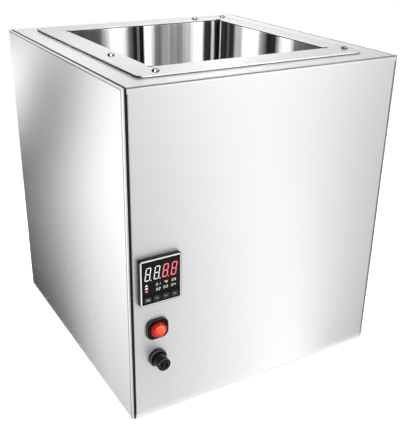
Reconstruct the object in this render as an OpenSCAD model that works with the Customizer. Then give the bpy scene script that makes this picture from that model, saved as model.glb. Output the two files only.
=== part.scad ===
// Wax dip tank: a sheet steel cabinet with a drop-in tank, a temperature
// controller, an illuminated power button and a fuse holder.
// Millimetres, +Z up, the front faces -Y, the origin is at the centre of the base.

/* [Cabinet] */
// Width across the side panels
cab_w = 340; // [320:1:420]
// Depth from the front sheet to the rear panel
cab_d = 356; // [340:1:440]
// Height of the top sheet above the table
cab_h = 380; // [340:1:480]
// Thickness of the cabinet sheet
sheet_t = 1.2; // [0.8:0.1:1.5]
// Outer radius of the bend between front and top
bend_r = 3; // [2:0.5:5]
// Outer radius of the bends into the returns
return_r = 2; // [1.6:0.1:3]
// Width of the bent returns
return_w = 15; // [13:0.5:18]
// Height of the rear return of the cover
rear_drop = 20; // [16:1:30]
// Height of the rear lip of the base pan
base_lip = 20; // [16:1:30]
// Step of the base pan's edge behind the outer faces
base_inset = 1; // [0.5:0.1:2]
// Length of the relief at the bent corners
corner_relief = 6; // [5:0.5:9]

/* [Access panel] */
// Width of the folded hem round the access panel
hem_w = 12; // [10:0.5:14]
// Width of the dark gap between access panel and cover
panel_gap = 2; // [1:0.1:3]
// Depth of the seal below the outer surface
seal_set = 1.5; // [1:0.1:2]
// Width of the seal strip
seal_w = 8; // [5:0.5:9]

/* [Rear panel] */
// Step of the rear panel's edge behind the outer faces
rear_inset = 1; // [0.5:0.1:3]
// Corner radius of the rear panel
rear_r = 4; // [2:0.5:8]
// Distance of the middle screws from the centre plane
rear_mid_x = 70; // [40:1:100]
// Distance of the outer screws from the ends of the side returns
rear_end = 30; // [15:1:60]
// Width of a vent slot
vent_w = 36; // [20:1:38]
// Height of a vent slot
vent_h = 4; // [2:0.5:6]
// Pitch of the vent slots
vent_pitch = 9; // [7:0.5:14]
// Number of vent slots
vent_n = 6; // [3:1:8]
// Height of the lowest vent slot
vent_z = 222; // [205:1:240]

/* [Fasteners] */
// Radius of the screw shanks
screw_r = 2; // [1.5:0.1:2.2]
// Radial clearance of the screw holes
screw_clear = 0.15; // [0.1:0.05:0.4]
// Radial clearance of nuts on their shanks
nut_clear = 0.03; // [0.02:0.01:0.1]
// Width across flats of the nuts
nut_af = 7; // [6:0.5:8]
// Height of the nuts
nut_h = 3.2; // [2:0.1:4]
// Radius of the pan heads
pan_r = 3.8; // [3.2:0.1:4.5]
// Height of the pan heads
pan_h = 2.4; // [1.6:0.1:3]
// Length of shank past the nut
screw_past = 1.5; // [0.5:0.1:3]
// Depth of the drive recesses
drive_depth = 1.2; // [0.8:0.1:1.4]

/* [Tank] */
// Width of the tank opening
tank_w = 224; // [200:1:230]
// Depth of the tank opening, front to back
tank_d = 233; // [200:1:240]
// Thickness of the tank sheet
tank_wall = 1.2; // [0.8:0.1:1.5]
// Inner radius of the upright tank corners
tank_r = 6; // [4:0.5:12]
// Radius of the rim bend into the flange
rim_r = 3; // [2.5:0.1:4]
// Radius of the relief holes at the rim corners
relief_r = 2.2; // [1.5:0.1:3]
// Offset of the opening from the centre plane, to the right
tank_x = 3; // [0:0.5:5]
// Offset of the opening from the centre, to the back
tank_y = 1; // [0:0.5:4]
// Width of the tank flange
flange_w = 283; // [276:1:300]
// Depth of the tank flange, front to back
flange_d = 305; // [296:1:318]
// Thickness of the tank flange
flange_t = 1.5; // [1.2:0.1:2]
// Corner radius of the tank flange
flange_r = 8; // [4:0.5:14]
// Thickness of the seal under the flange
tank_seal_t = 1; // [0.6:0.1:2]
// Step of the seal behind the flange edge
tank_seal_inset = 0.6; // [0.3:0.1:2]
// Clearance between the tank walls and the cover
tank_clear = 6; // [5:0.5:8]
// Radius of the button heads on the flange
button_r = 4; // [3:0.1:4.5]
// Height of the button heads
button_h = 2.3; // [1.8:0.1:3]
// Distance of the left screw from the left flange edge
left_screw_in = 18; // [12:0.5:22]
// Place of the left screw, front to back
left_screw_y = -48; // [-60:1:60]
// Distance of the front left screw from the left flange edge
front_screw_side = 26; // [15:0.5:60]
// Distance of the front left screw from the front flange edge
front_screw_in = 15; // [10:0.5:20]
// Distance of the right hand screws from the right flange edge
right_screw_in = 8; // [6:0.5:14]
// Distance of the front right screw from the front flange edge
right_screw_front = 23; // [12:0.5:30]
// Distance of the rear screws from the rear flange edge
back_screw_in = 16; // [10:0.5:20]
// Place of the rear screw, left to right
back_screw_x = 87; // [-60:1:100]

/* [Heating] */
// Height of the tray that carries the tank floor
tray_h = 28.8; // [20:0.2:40]
// Width of the tray
tray_w = 196; // [150:1:200]
// Depth of the tray, front to back
tray_d = 200; // [150:1:206]
// Thickness of the floor insulation
floor_ins_t = 28; // [15:1:40]
// Thickness of the floor heater
floor_heater_t = 3; // [2:0.5:6]
// Size of the square floor heater
floor_heater_w = 180; // [120:1:200]
// Thickness of the wall heater mats
heater_t = 2; // [1:0.5:3]
// Width of the wall heater mats
heater_w = 160; // [120:1:176]
// Height of the wall heater mats
heater_h = 180; // [100:1:190]
// Height of the mats above the tank floor
heater_up = 25; // [15:1:40]
// Thickness of the wall insulation
ins_t = 20; // [12:1:22]
// Distance of the wall insulation from the tank corners
ins_end = 12; // [8:1:20]
// Distance of the insulation below the top sheet
ins_top = 22; // [15:1:30]
// Thickness of the heat shield
shield_t = 1; // [0.8:0.1:1.5]
// Width of the foot of the heat shield
shield_foot = 14; // [10:1:18]
// Radius of the lead hole through shield and insulation
lead_hole_r = 5; // [4:0.5:7]
// Height of the lead hole
lead_hole_z = 92; // [90:1:110]
// Place of the lead hole, front to back
lead_hole_y = -8; // [-20:1:20]
// Radius of the temperature probe
probe_r = 3; // [2:0.5:4]
// Length of the temperature probe
probe_l = 60; // [40:1:90]
// Distance of the probe from the heater mat
probe_gap = 10; // [8:1:14]
// Height of the lower end of the probe
probe_z = 150; // [100:1:180]
// Width and height of the probe clip
clip_w = 12; // [10:0.5:16]
// Material of the clip over the probe
clip_t = 1.5; // [1:0.1:2.5]
// Radial clearance of the probe in its clip
probe_clear = 0.05; // [0.02:0.01:0.2]
// Radius of the limit thermostat
limit_r = 8; // [6:0.5:9]
// Thickness of the limit thermostat
limit_t = 9; // [6:0.5:14]
// Distance of the thermostat above the mat
limit_up = 36; // [25:1:45]
// Place of the thermostat behind the tank centre
limit_y = 40; // [10:1:60]
// Clearance round the thermostat
limit_clear = 4; // [2:0.5:6]

/* [Controller] */
// Distance of the controller axis from the left face
ctl_inset = 34.6; // [34:0.1:45]
// Height of the controller axis
ctl_z = 175.9; // [165:0.1:220]
// Width of the bezel
bezel_w = 48.6; // [48:0.1:52]
// Height of the bezel
bezel_h = 53.7; // [52:0.1:58]
// Projection of the bezel from the front sheet
bezel_out = 6.5; // [5.5:0.1:9]
// Corner radius of the bezel
bezel_r = 1.6; // [1:0.1:3]
// Chamfer round the bezel front
bezel_edge = 0.9; // [0.4:0.1:1.4]
// Width of the lip round the face
lip_w = 1.7; // [1.5:0.1:2.2]
// Depth of the face behind the lip
face_set = 0.5; // [0.2:0.1:1]
// Thickness of the face wall
face_t = 1.6; // [1.2:0.1:2]
// Wall of the bezel behind the face
bezel_wall = 2; // [1.5:0.1:2.4]
// Width of the display window
window_w = 43; // [38:0.1:43.4]
// Height of the display window
window_h = 36.6; // [30:0.1:37]
// Height of the window centre above the bezel centre
window_up = 5.6; // [5:0.1:6]
// Width of the hidden rim of the window
window_rim = 0.6; // [0.4:0.1:0.7]
// Thickness of the hidden rim of the window
window_rim_t = 0.8; // [0.5:0.1:1]
// Clearance of the window in the face
window_clear = 0.05; // [0.02:0.01:0.1]
// Width of the controller body behind the sheet
ctl_body_w = 44.6; // [44:0.1:45]
// Height of the controller body behind the sheet
ctl_body_h = 48; // [45:0.1:49]
// Depth of the controller body behind the sheet
ctl_depth = 50; // [40:1:52]
// Wall of the controller body
ctl_wall = 1.6; // [1.2:0.1:2.5]
// Clearance of bodies in their panel cut-outs
cutout_clear = 0.3; // [0.1:0.05:0.6]
// Rim of the clamp round the controller body
clamp_rim = 4; // [3:0.1:5]
// Depth of the clamp
clamp_d = 9; // [6:0.5:14]
// Radius of the terminal screws
term_r = 2.2; // [1.5:0.1:2.6]
// Height of the terminal screws
term_h = 1.6; // [1:0.1:2.5]
// Pitch of the terminal screws
term_pitch = 7; // [6:0.1:7.4]
// Distance of the terminal rows from the body axis
term_row = 15; // [10:0.5:17]
// Width of a key
key_w = 8.2; // [6:0.1:8.6]
// Height of a key
key_h = 6.8; // [5:0.1:7]
// Corner radius of a key
key_r = 0.9; // [0.4:0.1:1.5]
// Pitch of the keys
key_pitch = 10.5; // [10:0.1:10.6]
// Height of the key row above the lower bezel edge
key_up = 7.2; // [7:0.1:7.6]
// Projection of a key from the face
key_out = 0.8; // [0.8:0.1:1.2]
// Travel of a key
key_travel = 0.6; // [0.3:0.1:0.7]
// Clearance round a key
key_clear = 0.3; // [0.25:0.05:0.4]
// Rim that keeps a key behind the face
key_rim = 0.5; // [0.4:0.05:0.6]
// Thickness of the rim of a key
key_rim_t = 0.8; // [0.6:0.1:1]
// Thickness of the circuit board
board_t = 1.6; // [1:0.1:2]
// Depth of the circuit board behind the front sheet
board_set = 2; // [2:0.1:4]

/* [Power button] */
// Distance of the button axis from the left face
button_inset = 31.8; // [30:0.1:45]
// Height of the power button
switch_z = 114.7; // [112:0.1:120]
// Width of the switch plate
switch_w = 26.3; // [25:0.1:30]
// Height of the switch plate
switch_h = 24.5; // [24:0.1:30]
// Corner radius of the switch plate
switch_plate_r = 8.4; // [4:0.1:10]
// Thickness of the switch plate
switch_plate_t = 3.2; // [2.5:0.1:4.5]
// Rounded edge of the switch plate
switch_edge = 0.8; // [0.3:0.1:1.2]
// Radius of the switch barrel
switch_barrel_r = 10.2; // [9.9:0.1:10.6]
// Length of the switch barrel behind the sheet
switch_l = 24; // [20:0.5:28]
// Radius of the red button
btn_r = 8.9; // [7:0.1:9]
// Radius of the flat button face
btn_face_r = 7; // [5:0.1:7.4]
// Projection of the button from the switch plate
btn_out = 4.8; // [3.5:0.1:7]
// Height of the sloping shoulder of the button
btn_slope = 1.8; // [0.8:0.1:3]
// Length of the button inside the switch
btn_in = 7; // [4:0.1:8]
// Travel of the button
btn_travel = 2.5; // [1:0.1:3]
// Radial clearance of the button
btn_clear = 0.06; // [0.03:0.01:0.1]
// Step of the rim that keeps the button in the switch
btn_rim = 0.5; // [0.3:0.05:0.6]
// Thickness of the rim of the button
btn_rim_t = 1.8; // [1:0.1:2.5]
// Gap between the rim and the lip that stops it
btn_stop = 0.4; // [0.3:0.05:0.6]
// Rim of the nut behind the sheet
switch_nut_rim = 3; // [2:0.1:4]
// Height of the nut behind the sheet
switch_nut_h = 4; // [3:0.1:6]
// Width of the connector tabs
tab_w = 6.3; // [4.8:0.1:6.4]
// Thickness of the connector tabs
tab_t = 0.8; // [0.5:0.1:1]
// Length of the connector tabs
tab_l = 9; // [6:0.5:10]
// Distance of the switch tabs from the axis
tab_off = 5; // [3:0.1:6]

/* [Fuse holder] */
// Height of the fuse holder
fuse_z = 77; // [70:0.1:78]
// Radius of the holder flange
fuse_flange_r = 10.7; // [9.5:0.1:12]
// Thickness of the holder flange
fuse_flange_t = 4.6; // [3:0.1:6]
// Bevel of the holder flange
fuse_bevel = 1.4; // [0.5:0.1:2]
// Radius of the holder barrel
fuse_barrel_r = 7.6; // [7.2:0.1:8.2]
// Length of the holder barrel behind the sheet
fuse_l = 36; // [30:0.5:38]
// Radius of the cap stem
stem_r = 5.6; // [5:0.1:6.4]
// Length of the cap stem
stem_l = 12; // [9:0.5:14]
// Radial clearance of the stem
stem_clear = 0.06; // [0.03:0.01:0.1]
// Radius of the cap
cap_r = 7.7; // [7:0.1:8.4]
// Length of the cap in front of the flange
cap_l = 13; // [9:0.5:16]
// Gap between cap and flange
cap_gap = 0.4; // [0.3:0.05:0.8]
// Rounded edge of the cap
cap_edge = 0.8; // [0.3:0.1:1.2]
// Radius of the recess in the cap end
cap_dish_r = 4.9; // [3:0.1:5.5]
// Depth of the recess in the cap end
cap_dish = 2.6; // [1:0.1:3.5]
// Width of the coin bar in the recess
cap_bar = 1.8; // [1:0.1:2.5]
// Radius of the glass fuse
fuse_r = 2.6; // [2.4:0.1:3.2]
// Length of the glass fuse
fuse_len = 20; // [18:0.5:25]
// Length of the fuse inside the cap
fuse_seat = 7; // [5:0.5:8]
// Radial clearance of the fuse in the cap
fuse_clear = 0.1; // [0.05:0.01:0.2]
// Width across flats of the holder nut
fuse_nut_af = 20; // [18:0.5:21]
// Height of the holder nut
fuse_nut_h = 4.5; // [3:0.1:6]

/* [Power bay] */
// Gap between the side return and the relay plate
bay_gap = 1; // [0.6:0.1:3]
// Width of the relay plate
relay_plate_w = 42; // [40:1:44]
// Height of the relay plate
relay_plate_h = 80; // [70:1:96]
// Thickness of the relay plate
relay_plate_t = 6; // [4:0.5:8]
// Height of the relay centre
relay_z = 150; // [140:1:160]
// Width of the relay
relay_w = 42; // [38:0.5:44]
// Height of the relay
relay_h = 58; // [50:1:62]
// Depth of the relay
relay_d = 22; // [16:0.5:26]
// Distance of the relay terminals from its centre, across
relay_term_x = 12; // [8:0.5:15]
// Distance of the relay terminals from its centre, up
relay_term_z = 22; // [16:0.5:24]
// Radius of the relay terminals
relay_term_r = 3.5; // [2.5:0.1:4.5]
// Height of the relay terminals
relay_term_h = 2; // [1:0.1:3]
// Distance of the plate screws from the plate centre, up
relay_screw_z = 34; // [33:0.5:40]
// Height of the power inlet
inlet_z = 66; // [56:1:70]
// Width of the inlet flange
inlet_w = 23; // [22:0.5:28]
// Height of the inlet flange
inlet_h = 50; // [47:0.5:54]
// Thickness of the inlet flange
inlet_t = 3; // [2:0.1:4]
// Corner radius of the inlet flange
inlet_r = 4; // [2:0.5:8]
// Width of the inlet body
inlet_body_w = 20; // [19.5:0.1:21]
// Height of the inlet body
inlet_body_h = 27.6; // [27.4:0.1:30]
// Depth of the inlet body behind the panel
inlet_body_d = 24; // [20:0.5:28]
// Width of the socket
socket_w = 16.4; // [16:0.1:16.8]
// Height of the socket
socket_h = 24.4; // [24:0.1:24.8]
// Depth of the socket
socket_d = 17; // [14:0.5:18]
// Cut corners of the socket
socket_cut = 5; // [3:0.5:6]
// Height of a pin
pin_w = 4; // [3:0.1:4.5]
// Thickness of a pin
pin_t = 2; // [1:0.1:2.5]
// Length of a pin
pin_l = 15; // [10:0.5:16]
// Pitch of the pins
pin_pitch = 7; // [6:0.1:7.5]
// Offset of the earth pin
pin_off = 2; // [1:0.1:3]
// Distance of the inlet screws from the inlet centre
inlet_screw = 20; // [19:0.1:21]
// Length of the terminal block
block_l = 60; // [50:1:80]
// Height of the terminal block
block_h = 18; // [14:0.5:22]
// Depth of the terminal block
block_d = 17; // [14:0.5:18]
// Height of the terminal block above the base
block_up = 38; // [30:1:45]
// Number of poles of the terminal block
block_n = 5; // [3:1:6]
// Pitch of the poles
block_pitch = 9; // [8:0.1:9.5]
// Depth of the grooves between the poles
block_groove = 3; // [1:0.5:5]
// Width of the grooves between the poles
block_slit = 1.2; // [0.6:0.1:2]
// Radius of the earth stud
earth_r = 2.5; // [2:0.1:3]
// Height of the earth stud
earth_h = 14; // [10:0.5:20]
// Distance of the earth stud from the left face
earth_inset = 27; // [24:0.5:31]
// Distance of the earth stud from the rear panel
earth_back = 50; // [46:1:56]
// Width across flats of the earth nut
earth_af = 8; // [7:0.5:9]
// Height of the earth nut
earth_nut_h = 4; // [3:0.1:5]

/* [Hidden] */
$fn = 48;
// Overshoot of a cut past the surface that it opens
over = 1;

// Outer planes of the cabinet and the layer that the rear panel lies on
xl = -cab_w / 2;
xr = cab_w / 2;
yf = -cab_d / 2;
yb = cab_d / 2;
yr = yb - sheet_t;
base_top = sheet_t;
hem_t = 2 * sheet_t;
cover_xl = xl + hem_t + panel_gap;
cover_xr = xr - sheet_t;
side_z0 = base_lip + 1;
side_z1 = cab_h - rear_drop - 1;

// Heights of the stack under and over the tank
tray_top = base_top + tray_h;
floor_ins_top = tray_top + floor_ins_t;
tank_z0 = floor_ins_top + floor_heater_t;
flange_z0 = cab_h + tank_seal_t;
flange_z1 = flange_z0 + flange_t;

// Outer faces of the tank walls, the mats and the insulation
tank_ow = tank_w / 2 + tank_wall;
tank_od = tank_d / 2 + tank_wall;
mat_ow = tank_ow + heater_t;
mat_od = tank_od + heater_t;
ins_ow = mat_ow + ins_t;
ins_od = mat_od + ins_t;
ins_z1 = cab_h - ins_top;
probe_y = tank_y - heater_w / 2 - probe_gap;
left_ins_y0 = probe_y + clip_w / 2 + 2;
left_ins_y1 = tank_y + tank_d / 2 - ins_end;
shield_x = tank_x - ins_ow;
limit_z = tank_z0 + heater_up + heater_h + limit_up;

// Axes of the controls on the front sheet
ctl_x = xl + ctl_inset;
btn_x = xl + button_inset;
face_y = yf - bezel_out + face_set;
face_in = face_y + face_t;
key_z = ctl_z - bezel_h / 2 + key_up;
key_rim_y = face_in + key_clear;
key_back_y = key_rim_y + key_rim_t;
switch_front = yf - switch_plate_t;
btn_lip = btn_in - btn_rim_t - btn_stop;
fuse_front = yf - fuse_flange_t;
cap_back = fuse_front - cap_gap;
cap_front = cap_back - cap_l;
fuse_y0 = cap_back + stem_l - fuse_seat;

// Axis of the power bay at the rear left
bay_x = xl + sheet_t + return_w + bay_gap + relay_plate_w / 2;
relay_y = yr - relay_plate_t;
block_z = base_top + block_up;

// Screws of the rear panel as places in X and Z
side_screw_x = cab_w / 2 - sheet_t - return_w / 2;
rear_pts = concat(
    [for (s = [-1, 1]) for (z = [side_z0 + rear_end, (side_z0 + side_z1) / 2, side_z1 - rear_end]) [s * side_screw_x, z]],
    [for (s = [-1, 1]) [s * rear_mid_x, cab_h - rear_drop / 2]],
    [for (s = [-1, 1]) [s * rear_mid_x, base_lip / 2]]);
rear_len = hem_t + nut_h + screw_past;

// Screws of the tank flange as places in X and Y
tank_pts = [
    [-flange_w / 2 + left_screw_in, left_screw_y],
    [-flange_w / 2 + front_screw_side, -flange_d / 2 + front_screw_in],
    [flange_w / 2 - right_screw_in, -flange_d / 2 + right_screw_front],
    [flange_w / 2 - right_screw_in, flange_d / 2 - back_screw_in],
    [back_screw_x, flange_d / 2 - back_screw_in]];
tank_len = flange_t + tank_seal_t + sheet_t + nut_h + screw_past;

// Lane of the leads beside the terminal block, and the ends that they join
wire_r = 1.6;
wire_n = 3;
wire_end = 7;
lane_x = (xl + hem_t + shield_x - shield_t - block_d) / 2;
pole_x = shield_x - shield_t - block_d / 2;
pole_z = block_z + block_h;
pin_end = [bay_x - pin_off, yb - inlet_body_d - tab_l, inlet_z - pin_pitch];
relay_end = [bay_x - relay_term_x, relay_y - relay_d + relay_term_h, relay_z + relay_term_z];
fuse_end = [btn_x, yf + fuse_l + tab_l, fuse_z];
mat_end = [tank_x - mat_ow, lead_hole_y, lead_hole_z];
probe_end = [tank_x - tank_ow - probe_r - probe_clear, probe_y, probe_z + probe_l];
term_end = [ctl_x + term_row, yf + ctl_depth + term_h, ctl_z + 2.5 * term_pitch];
function pole(i, up) = [pole_x, (i - (block_n - 1) / 2) * block_pitch, pole_z + up];
function between(a, b, t, d) = a * (1 - t) + b * t + d;

// Routes of the leads inside the cabinet, square to the faces at their ends
lead_mains = [pin_end, pin_end - [0, wire_end, 0], [(pin_end[0] + lane_x) / 2, pin_end[1] - 21, pin_end[2] + 5], [lane_x, pin_end[1] - 41, pole_z + 17], [lane_x, pole(4, 0)[1] + 22, pole_z + 21], between(pole(4, 15), [lane_x, pole(4, 0)[1], pole_z + 15], 0.5, [0, 4, 0]), pole(4, wire_end), pole(4, 0)];
lead_fuse = [pole(0, 0), pole(0, wire_end), between(pole(0, 15), [lane_x, pole(0, 0)[1], pole_z + 15], 0.5, [0, -8, 0]), [lane_x, pole(0, 0)[1] - 32, pole_z + 21], [lane_x, fuse_end[1] + 37, fuse_end[2] + 3], between([lane_x, fuse_end[1], fuse_end[2]], fuse_end, 0.6, [0, 11, 1]), fuse_end + [0, wire_end, 0], fuse_end];
lead_relay = [relay_end, relay_end - [0, wire_end, 0], [lane_x + 4, relay_end[1] - 25, relay_end[2] - 8], [lane_x, relay_end[1] - 51, (relay_end[2] + pole_z) / 2 + 15], [lane_x, pole(3, 0)[1] + 41, pole_z + 43], between(pole(3, 17), [lane_x, pole(3, 0)[1], pole_z + 17], 0.35, [0, 4, 0]), pole(3, wire_end), pole(3, 0)];
lead_heater = [pole(1, 0), pole(1, wire_end), [pole_x, lead_hole_y, lead_hole_z - 8], [shield_x - shield_t - wire_r, lead_hole_y, lead_hole_z], [(shield_x + mat_end[0]) / 2, lead_hole_y, lead_hole_z], mat_end];
lead_probe = [probe_end, probe_end + [0, 0, 10], between(probe_end, term_end, 0.25, [-1, 2, 26]), between(probe_end, term_end, 0.5, [-5, 0, 24]), between(probe_end, term_end, 0.8, [-2, 4, 9]), term_end + [0, wire_end, 0], term_end];

// Points on an arc
function arc(c, r, a0, a1, n = 5) = [for (i = [0:n]) c + r * [cos(a0 + (a1 - a0) * i / n), sin(a0 + (a1 - a0) * i / n)]];

// Outline of a rectangle with round corners about the origin
function rrect(w, h, r, n = 6) = concat(
    arc([w / 2 - r, h / 2 - r], r, 0, 90, n), arc([-w / 2 + r, h / 2 - r], r, 90, 180, n),
    arc([-w / 2 + r, -h / 2 + r], r, 180, 270, n), arc([w / 2 - r, -h / 2 + r], r, 270, 360, n));

function unit(v) = v / norm(v);
function left_of(v) = [-v[1], v[0]];
function pick(r, i) = is_num(r) ? r : r[i];

// Section of a sheet of thickness t bent square, always to the left, along its outer line p
function bent(p, r, t) = let (k = len(p), d = [for (i = [0:k - 2]) unit(p[i + 1] - p[i])])
    concat([p[0]],
        [for (i = [1:k - 2]) let (q = pick(r, i - 1), a = atan2(-d[i][1], -d[i][0])) each arc(p[i] - q * d[i - 1] + q * d[i], q, a, a + 90)],
        [p[k - 1], p[k - 1] + t * left_of(d[k - 2])],
        [for (j = [1:k - 2]) let (i = k - 1 - j, q = pick(r, i - 1), a = atan2(-d[i][1], -d[i][0])) each arc(p[i] - q * d[i - 1] + q * d[i], q - t, a + 90, a)],
        [p[0] + t * left_of(d[0])]);

// Extrusions of an outline drawn in YZ, XZ or XY
module along_x(x0, x1) translate([x0, 0, 0]) rotate([90, 0, 90]) linear_extrude(x1 - x0) children();
module along_y(y0, y1) translate([0, y1, 0]) rotate([90, 0, 0]) linear_extrude(y1 - y0) children();
module along_z(z0, z1) translate([0, 0, z0]) linear_extrude(z1 - z0) children();
module slab(lo, hi) translate(lo) cube(hi - lo);

// Round bars towards +Y, -Y and +X
module bar_y(p, r, l) translate(p) rotate([-90, 0, 0]) cylinder(r = r, h = l);
module bar_x(p, r, l) translate(p) rotate([0, 90, 0]) cylinder(r = r, h = l);

// Solid of revolution about an axis along -Y, drawn as radius and distance in front of the place p
module turned_y(p) translate(p) rotate([90, 0, 0]) rotate_extrude() children();

// Screw with a domed head and a cross recess, head up, seat at z = 0
module pan_screw(head_r, head_h, shank_r, l) difference() {
    union() {
        rotate_extrude() polygon(concat([[0, 0], [head_r, 0], [head_r, head_h * 0.45]], arc([head_r * 0.55, head_h * 0.45], head_r * 0.45, 0, 90, 4) * [[1, 0], [0, 1]], [[0, head_h * 0.45 + head_r * 0.45]]));
        translate([0, 0, -l]) cylinder(r = shank_r, h = l + 0.1);
    }
    for (a = [0, 90]) rotate([0, 0, a]) translate([-head_r * 0.55, -head_r * 0.11, head_h - drive_depth]) cube([head_r * 1.1, head_r * 0.22, head_h]);
}

// Screw with a low round head and a six-sided socket, head up, seat at z = 0
module button_screw(head_r, head_h, shank_r, l) difference() {
    union() {
        rotate_extrude() polygon(concat([[0, 0]], [for (i = [0:6]) [head_r * cos(i * 11), head_h * sin(i * 11) / sin(66)]], [[0, head_h]]));
        translate([0, 0, -l]) cylinder(r = shank_r, h = l + 0.1);
    }
    translate([0, 0, head_h - drive_depth]) cylinder(r = shank_r * 0.72, h = head_h, $fn = 6);
}

// Nut with its seat at z = 0, growing upwards
module nut(af, h, shank_r) difference() {
    cylinder(r = af / sqrt(3), h = h, $fn = 6);
    translate([0, 0, -over]) cylinder(r = shank_r + nut_clear, h = h + 2 * over);
}

// Rows of screw places
module at_rear() for (q = rear_pts) translate([q[0], yb, q[1]]) rotate([-90, 0, 0]) children();
module at_tank() for (q = tank_pts) translate([q[0], q[1], flange_z1]) children();
module rear_holes() for (q = rear_pts) bar_y([q[0], yb - 3 * hem_t, q[1]], screw_r + screw_clear, 4 * hem_t);
module tank_holes() for (q = tank_pts) translate([q[0], q[1], cab_h - hem_t]) cylinder(r = screw_r + screw_clear, h = 3 * hem_t + tank_seal_t + flange_t);

// Flat bottom pan with an upright rear lip and vent slots under the wiring lane
module base_pan() color("silver") difference() {
    along_x(xl + base_inset, xr - base_inset) polygon(bent([[yf + base_inset, 0], [yr, 0], [yr, base_lip]], return_r, sheet_t));
    rear_holes();
    for (i = [-1:1]) slab([xl + hem_t + 5, i * 45 - 18, -over], [xl + hem_t + 5 + vent_h, i * 45 + 18, base_top + over]);
}

// Fixed right side with its rear return
module right_side_panel() color("gainsboro") difference() {
    union() {
        slab([xr - sheet_t, yf, base_top], [xr, yr - return_r, cab_h]);
        along_z(side_z0, side_z1) polygon(bent([[xr, yr - 2 * return_r], [xr, yr], [xr - sheet_t - return_w, yr]], return_r, sheet_t));
    }
    rear_holes();
}

// Removable left side, hemmed double along its front and top edges
module left_access_panel() color("whitesmoke") difference() {
    union() {
        slab([xl, yf + sheet_t, base_top], [xl + sheet_t, yr - return_r, cab_h - sheet_t]);
        along_z(base_top, cab_h - sheet_t) polygon(concat(arc([xl + sheet_t, yf + sheet_t], sheet_t, 180, 360, 8), [[xl + hem_t, yf + hem_w], [xl, yf + hem_w]]));
        along_y(yf + sheet_t, yr - return_r) polygon(concat(arc([xl + sheet_t, cab_h - sheet_t], sheet_t, 0, 180, 8), [[xl, cab_h - hem_w], [xl + hem_t, cab_h - hem_w]]));
        along_z(side_z0, side_z1) polygon(bent([[xl + sheet_t + return_w, yr], [xl, yr], [xl, yr - 2 * return_r]], return_r, sheet_t));
    }
    rear_holes();
}

// Dark strip in the gap between the access panel and the cover
module access_seal() color("black") union() {
    slab([xl + hem_t, yf + seal_set, base_top], [cover_xl, yf + seal_set + seal_w, cab_h - seal_set]);
    slab([xl + hem_t, yf + seal_set, cab_h - seal_set - seal_w], [cover_xl, yr - return_w, cab_h - seal_set]);
}

// Front and top in one bent sheet, with returns all round
module front_top_cover() color("lightgray") difference() {
    union() {
        along_x(cover_xl + return_r, cover_xr - return_r) polygon(bent([[yr, cab_h - rear_drop], [yr, cab_h], [yf, cab_h], [yf, base_top], [yf + return_w, base_top]], [return_r, bend_r, return_r], sheet_t));
        along_x(cover_xl, cover_xr) {
            polygon(bent([[yf + corner_relief, cab_h], [yf, cab_h], [yf, cab_h - corner_relief]], bend_r, sheet_t));
            polygon(bent([[yf, base_top + corner_relief], [yf, base_top], [yf + corner_relief, base_top]], return_r, sheet_t));
            polygon(bent([[yr, cab_h - corner_relief], [yr, cab_h], [yr - corner_relief, cab_h]], return_r, sheet_t));
        }
        along_z(base_top + corner_relief, cab_h - corner_relief) {
            polygon(bent([[cover_xl, yf + return_w], [cover_xl, yf], [cover_xl + return_w, yf]], return_r, sheet_t));
            polygon(bent([[cover_xr - return_w, yf], [cover_xr, yf], [cover_xr, yf + return_w]], return_r, sheet_t));
        }
        along_y(yf + corner_relief, yr - corner_relief) {
            polygon(bent([[cover_xl + return_w, cab_h], [cover_xl, cab_h], [cover_xl, cab_h - return_w]], return_r, sheet_t));
            polygon(bent([[cover_xr, cab_h - return_w], [cover_xr, cab_h], [cover_xr - return_w, cab_h]], return_r, sheet_t));
        }
    }
    translate([tank_x, tank_y]) along_z(cab_h - sheet_t - over, cab_h + over) polygon(rrect(2 * (tank_ow + tank_clear), 2 * (tank_od + tank_clear), tank_r + tank_clear));
    translate([ctl_x, yf, ctl_z]) slab([-ctl_body_w / 2 - cutout_clear, -over, -ctl_body_h / 2 - cutout_clear], [ctl_body_w / 2 + cutout_clear, sheet_t + over, ctl_body_h / 2 + cutout_clear]);
    bar_y([btn_x, yf - over, switch_z], switch_barrel_r + cutout_clear, sheet_t + 2 * over);
    bar_y([btn_x, yf - over, fuse_z], fuse_barrel_r + cutout_clear, sheet_t + 2 * over);
    tank_holes();
    rear_holes();
}

// Screwed rear panel with vent slots, the inlet cut-out and the relay plate holes
module rear_panel() color("gainsboro") difference() {
    along_y(yr, yb) translate([0, (base_top + cab_h) / 2]) polygon(rrect(cab_w - 2 * rear_inset, cab_h - base_top - 2 * rear_inset, rear_r));
    rear_holes();
    slab([bay_x - inlet_body_w / 2 - cutout_clear, yr - over, inlet_z - inlet_body_h / 2 - cutout_clear], [bay_x + inlet_body_w / 2 + cutout_clear, yb + over, inlet_z + inlet_body_h / 2 + cutout_clear]);
    for (s = [-1, 1]) {
        bar_y([bay_x, yr - over, inlet_z + s * inlet_screw], screw_r * 0.75 + screw_clear, sheet_t + 2 * over);
        bar_y([bay_x, yr - over, relay_z + s * relay_screw_z], screw_r + screw_clear, sheet_t + 2 * over);
    }
    for (i = [0:vent_n - 1]) along_y(yr - over, yb + over) translate([bay_x, vent_z + i * vent_pitch]) polygon(rrect(vent_w, vent_h, vent_h * 0.49));
}

module rear_screws() color("dimgray") at_rear() pan_screw(pan_r, pan_h, screw_r, rear_len);
module rear_nuts() color("darkgray") at_rear() translate([0, 0, -hem_t - nut_h]) nut(nut_af, nut_h, screw_r);

// Bridge of bent sheet that carries the tank floor
module tank_tray() color("silver") along_y(tank_y - tray_d / 2, tank_y + tray_d / 2)
    polygon(bent([[tank_x + tray_w / 2, base_top], [tank_x + tray_w / 2, tray_top], [tank_x - tray_w / 2, tray_top], [tank_x - tray_w / 2, base_top]], return_r, sheet_t));

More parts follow.
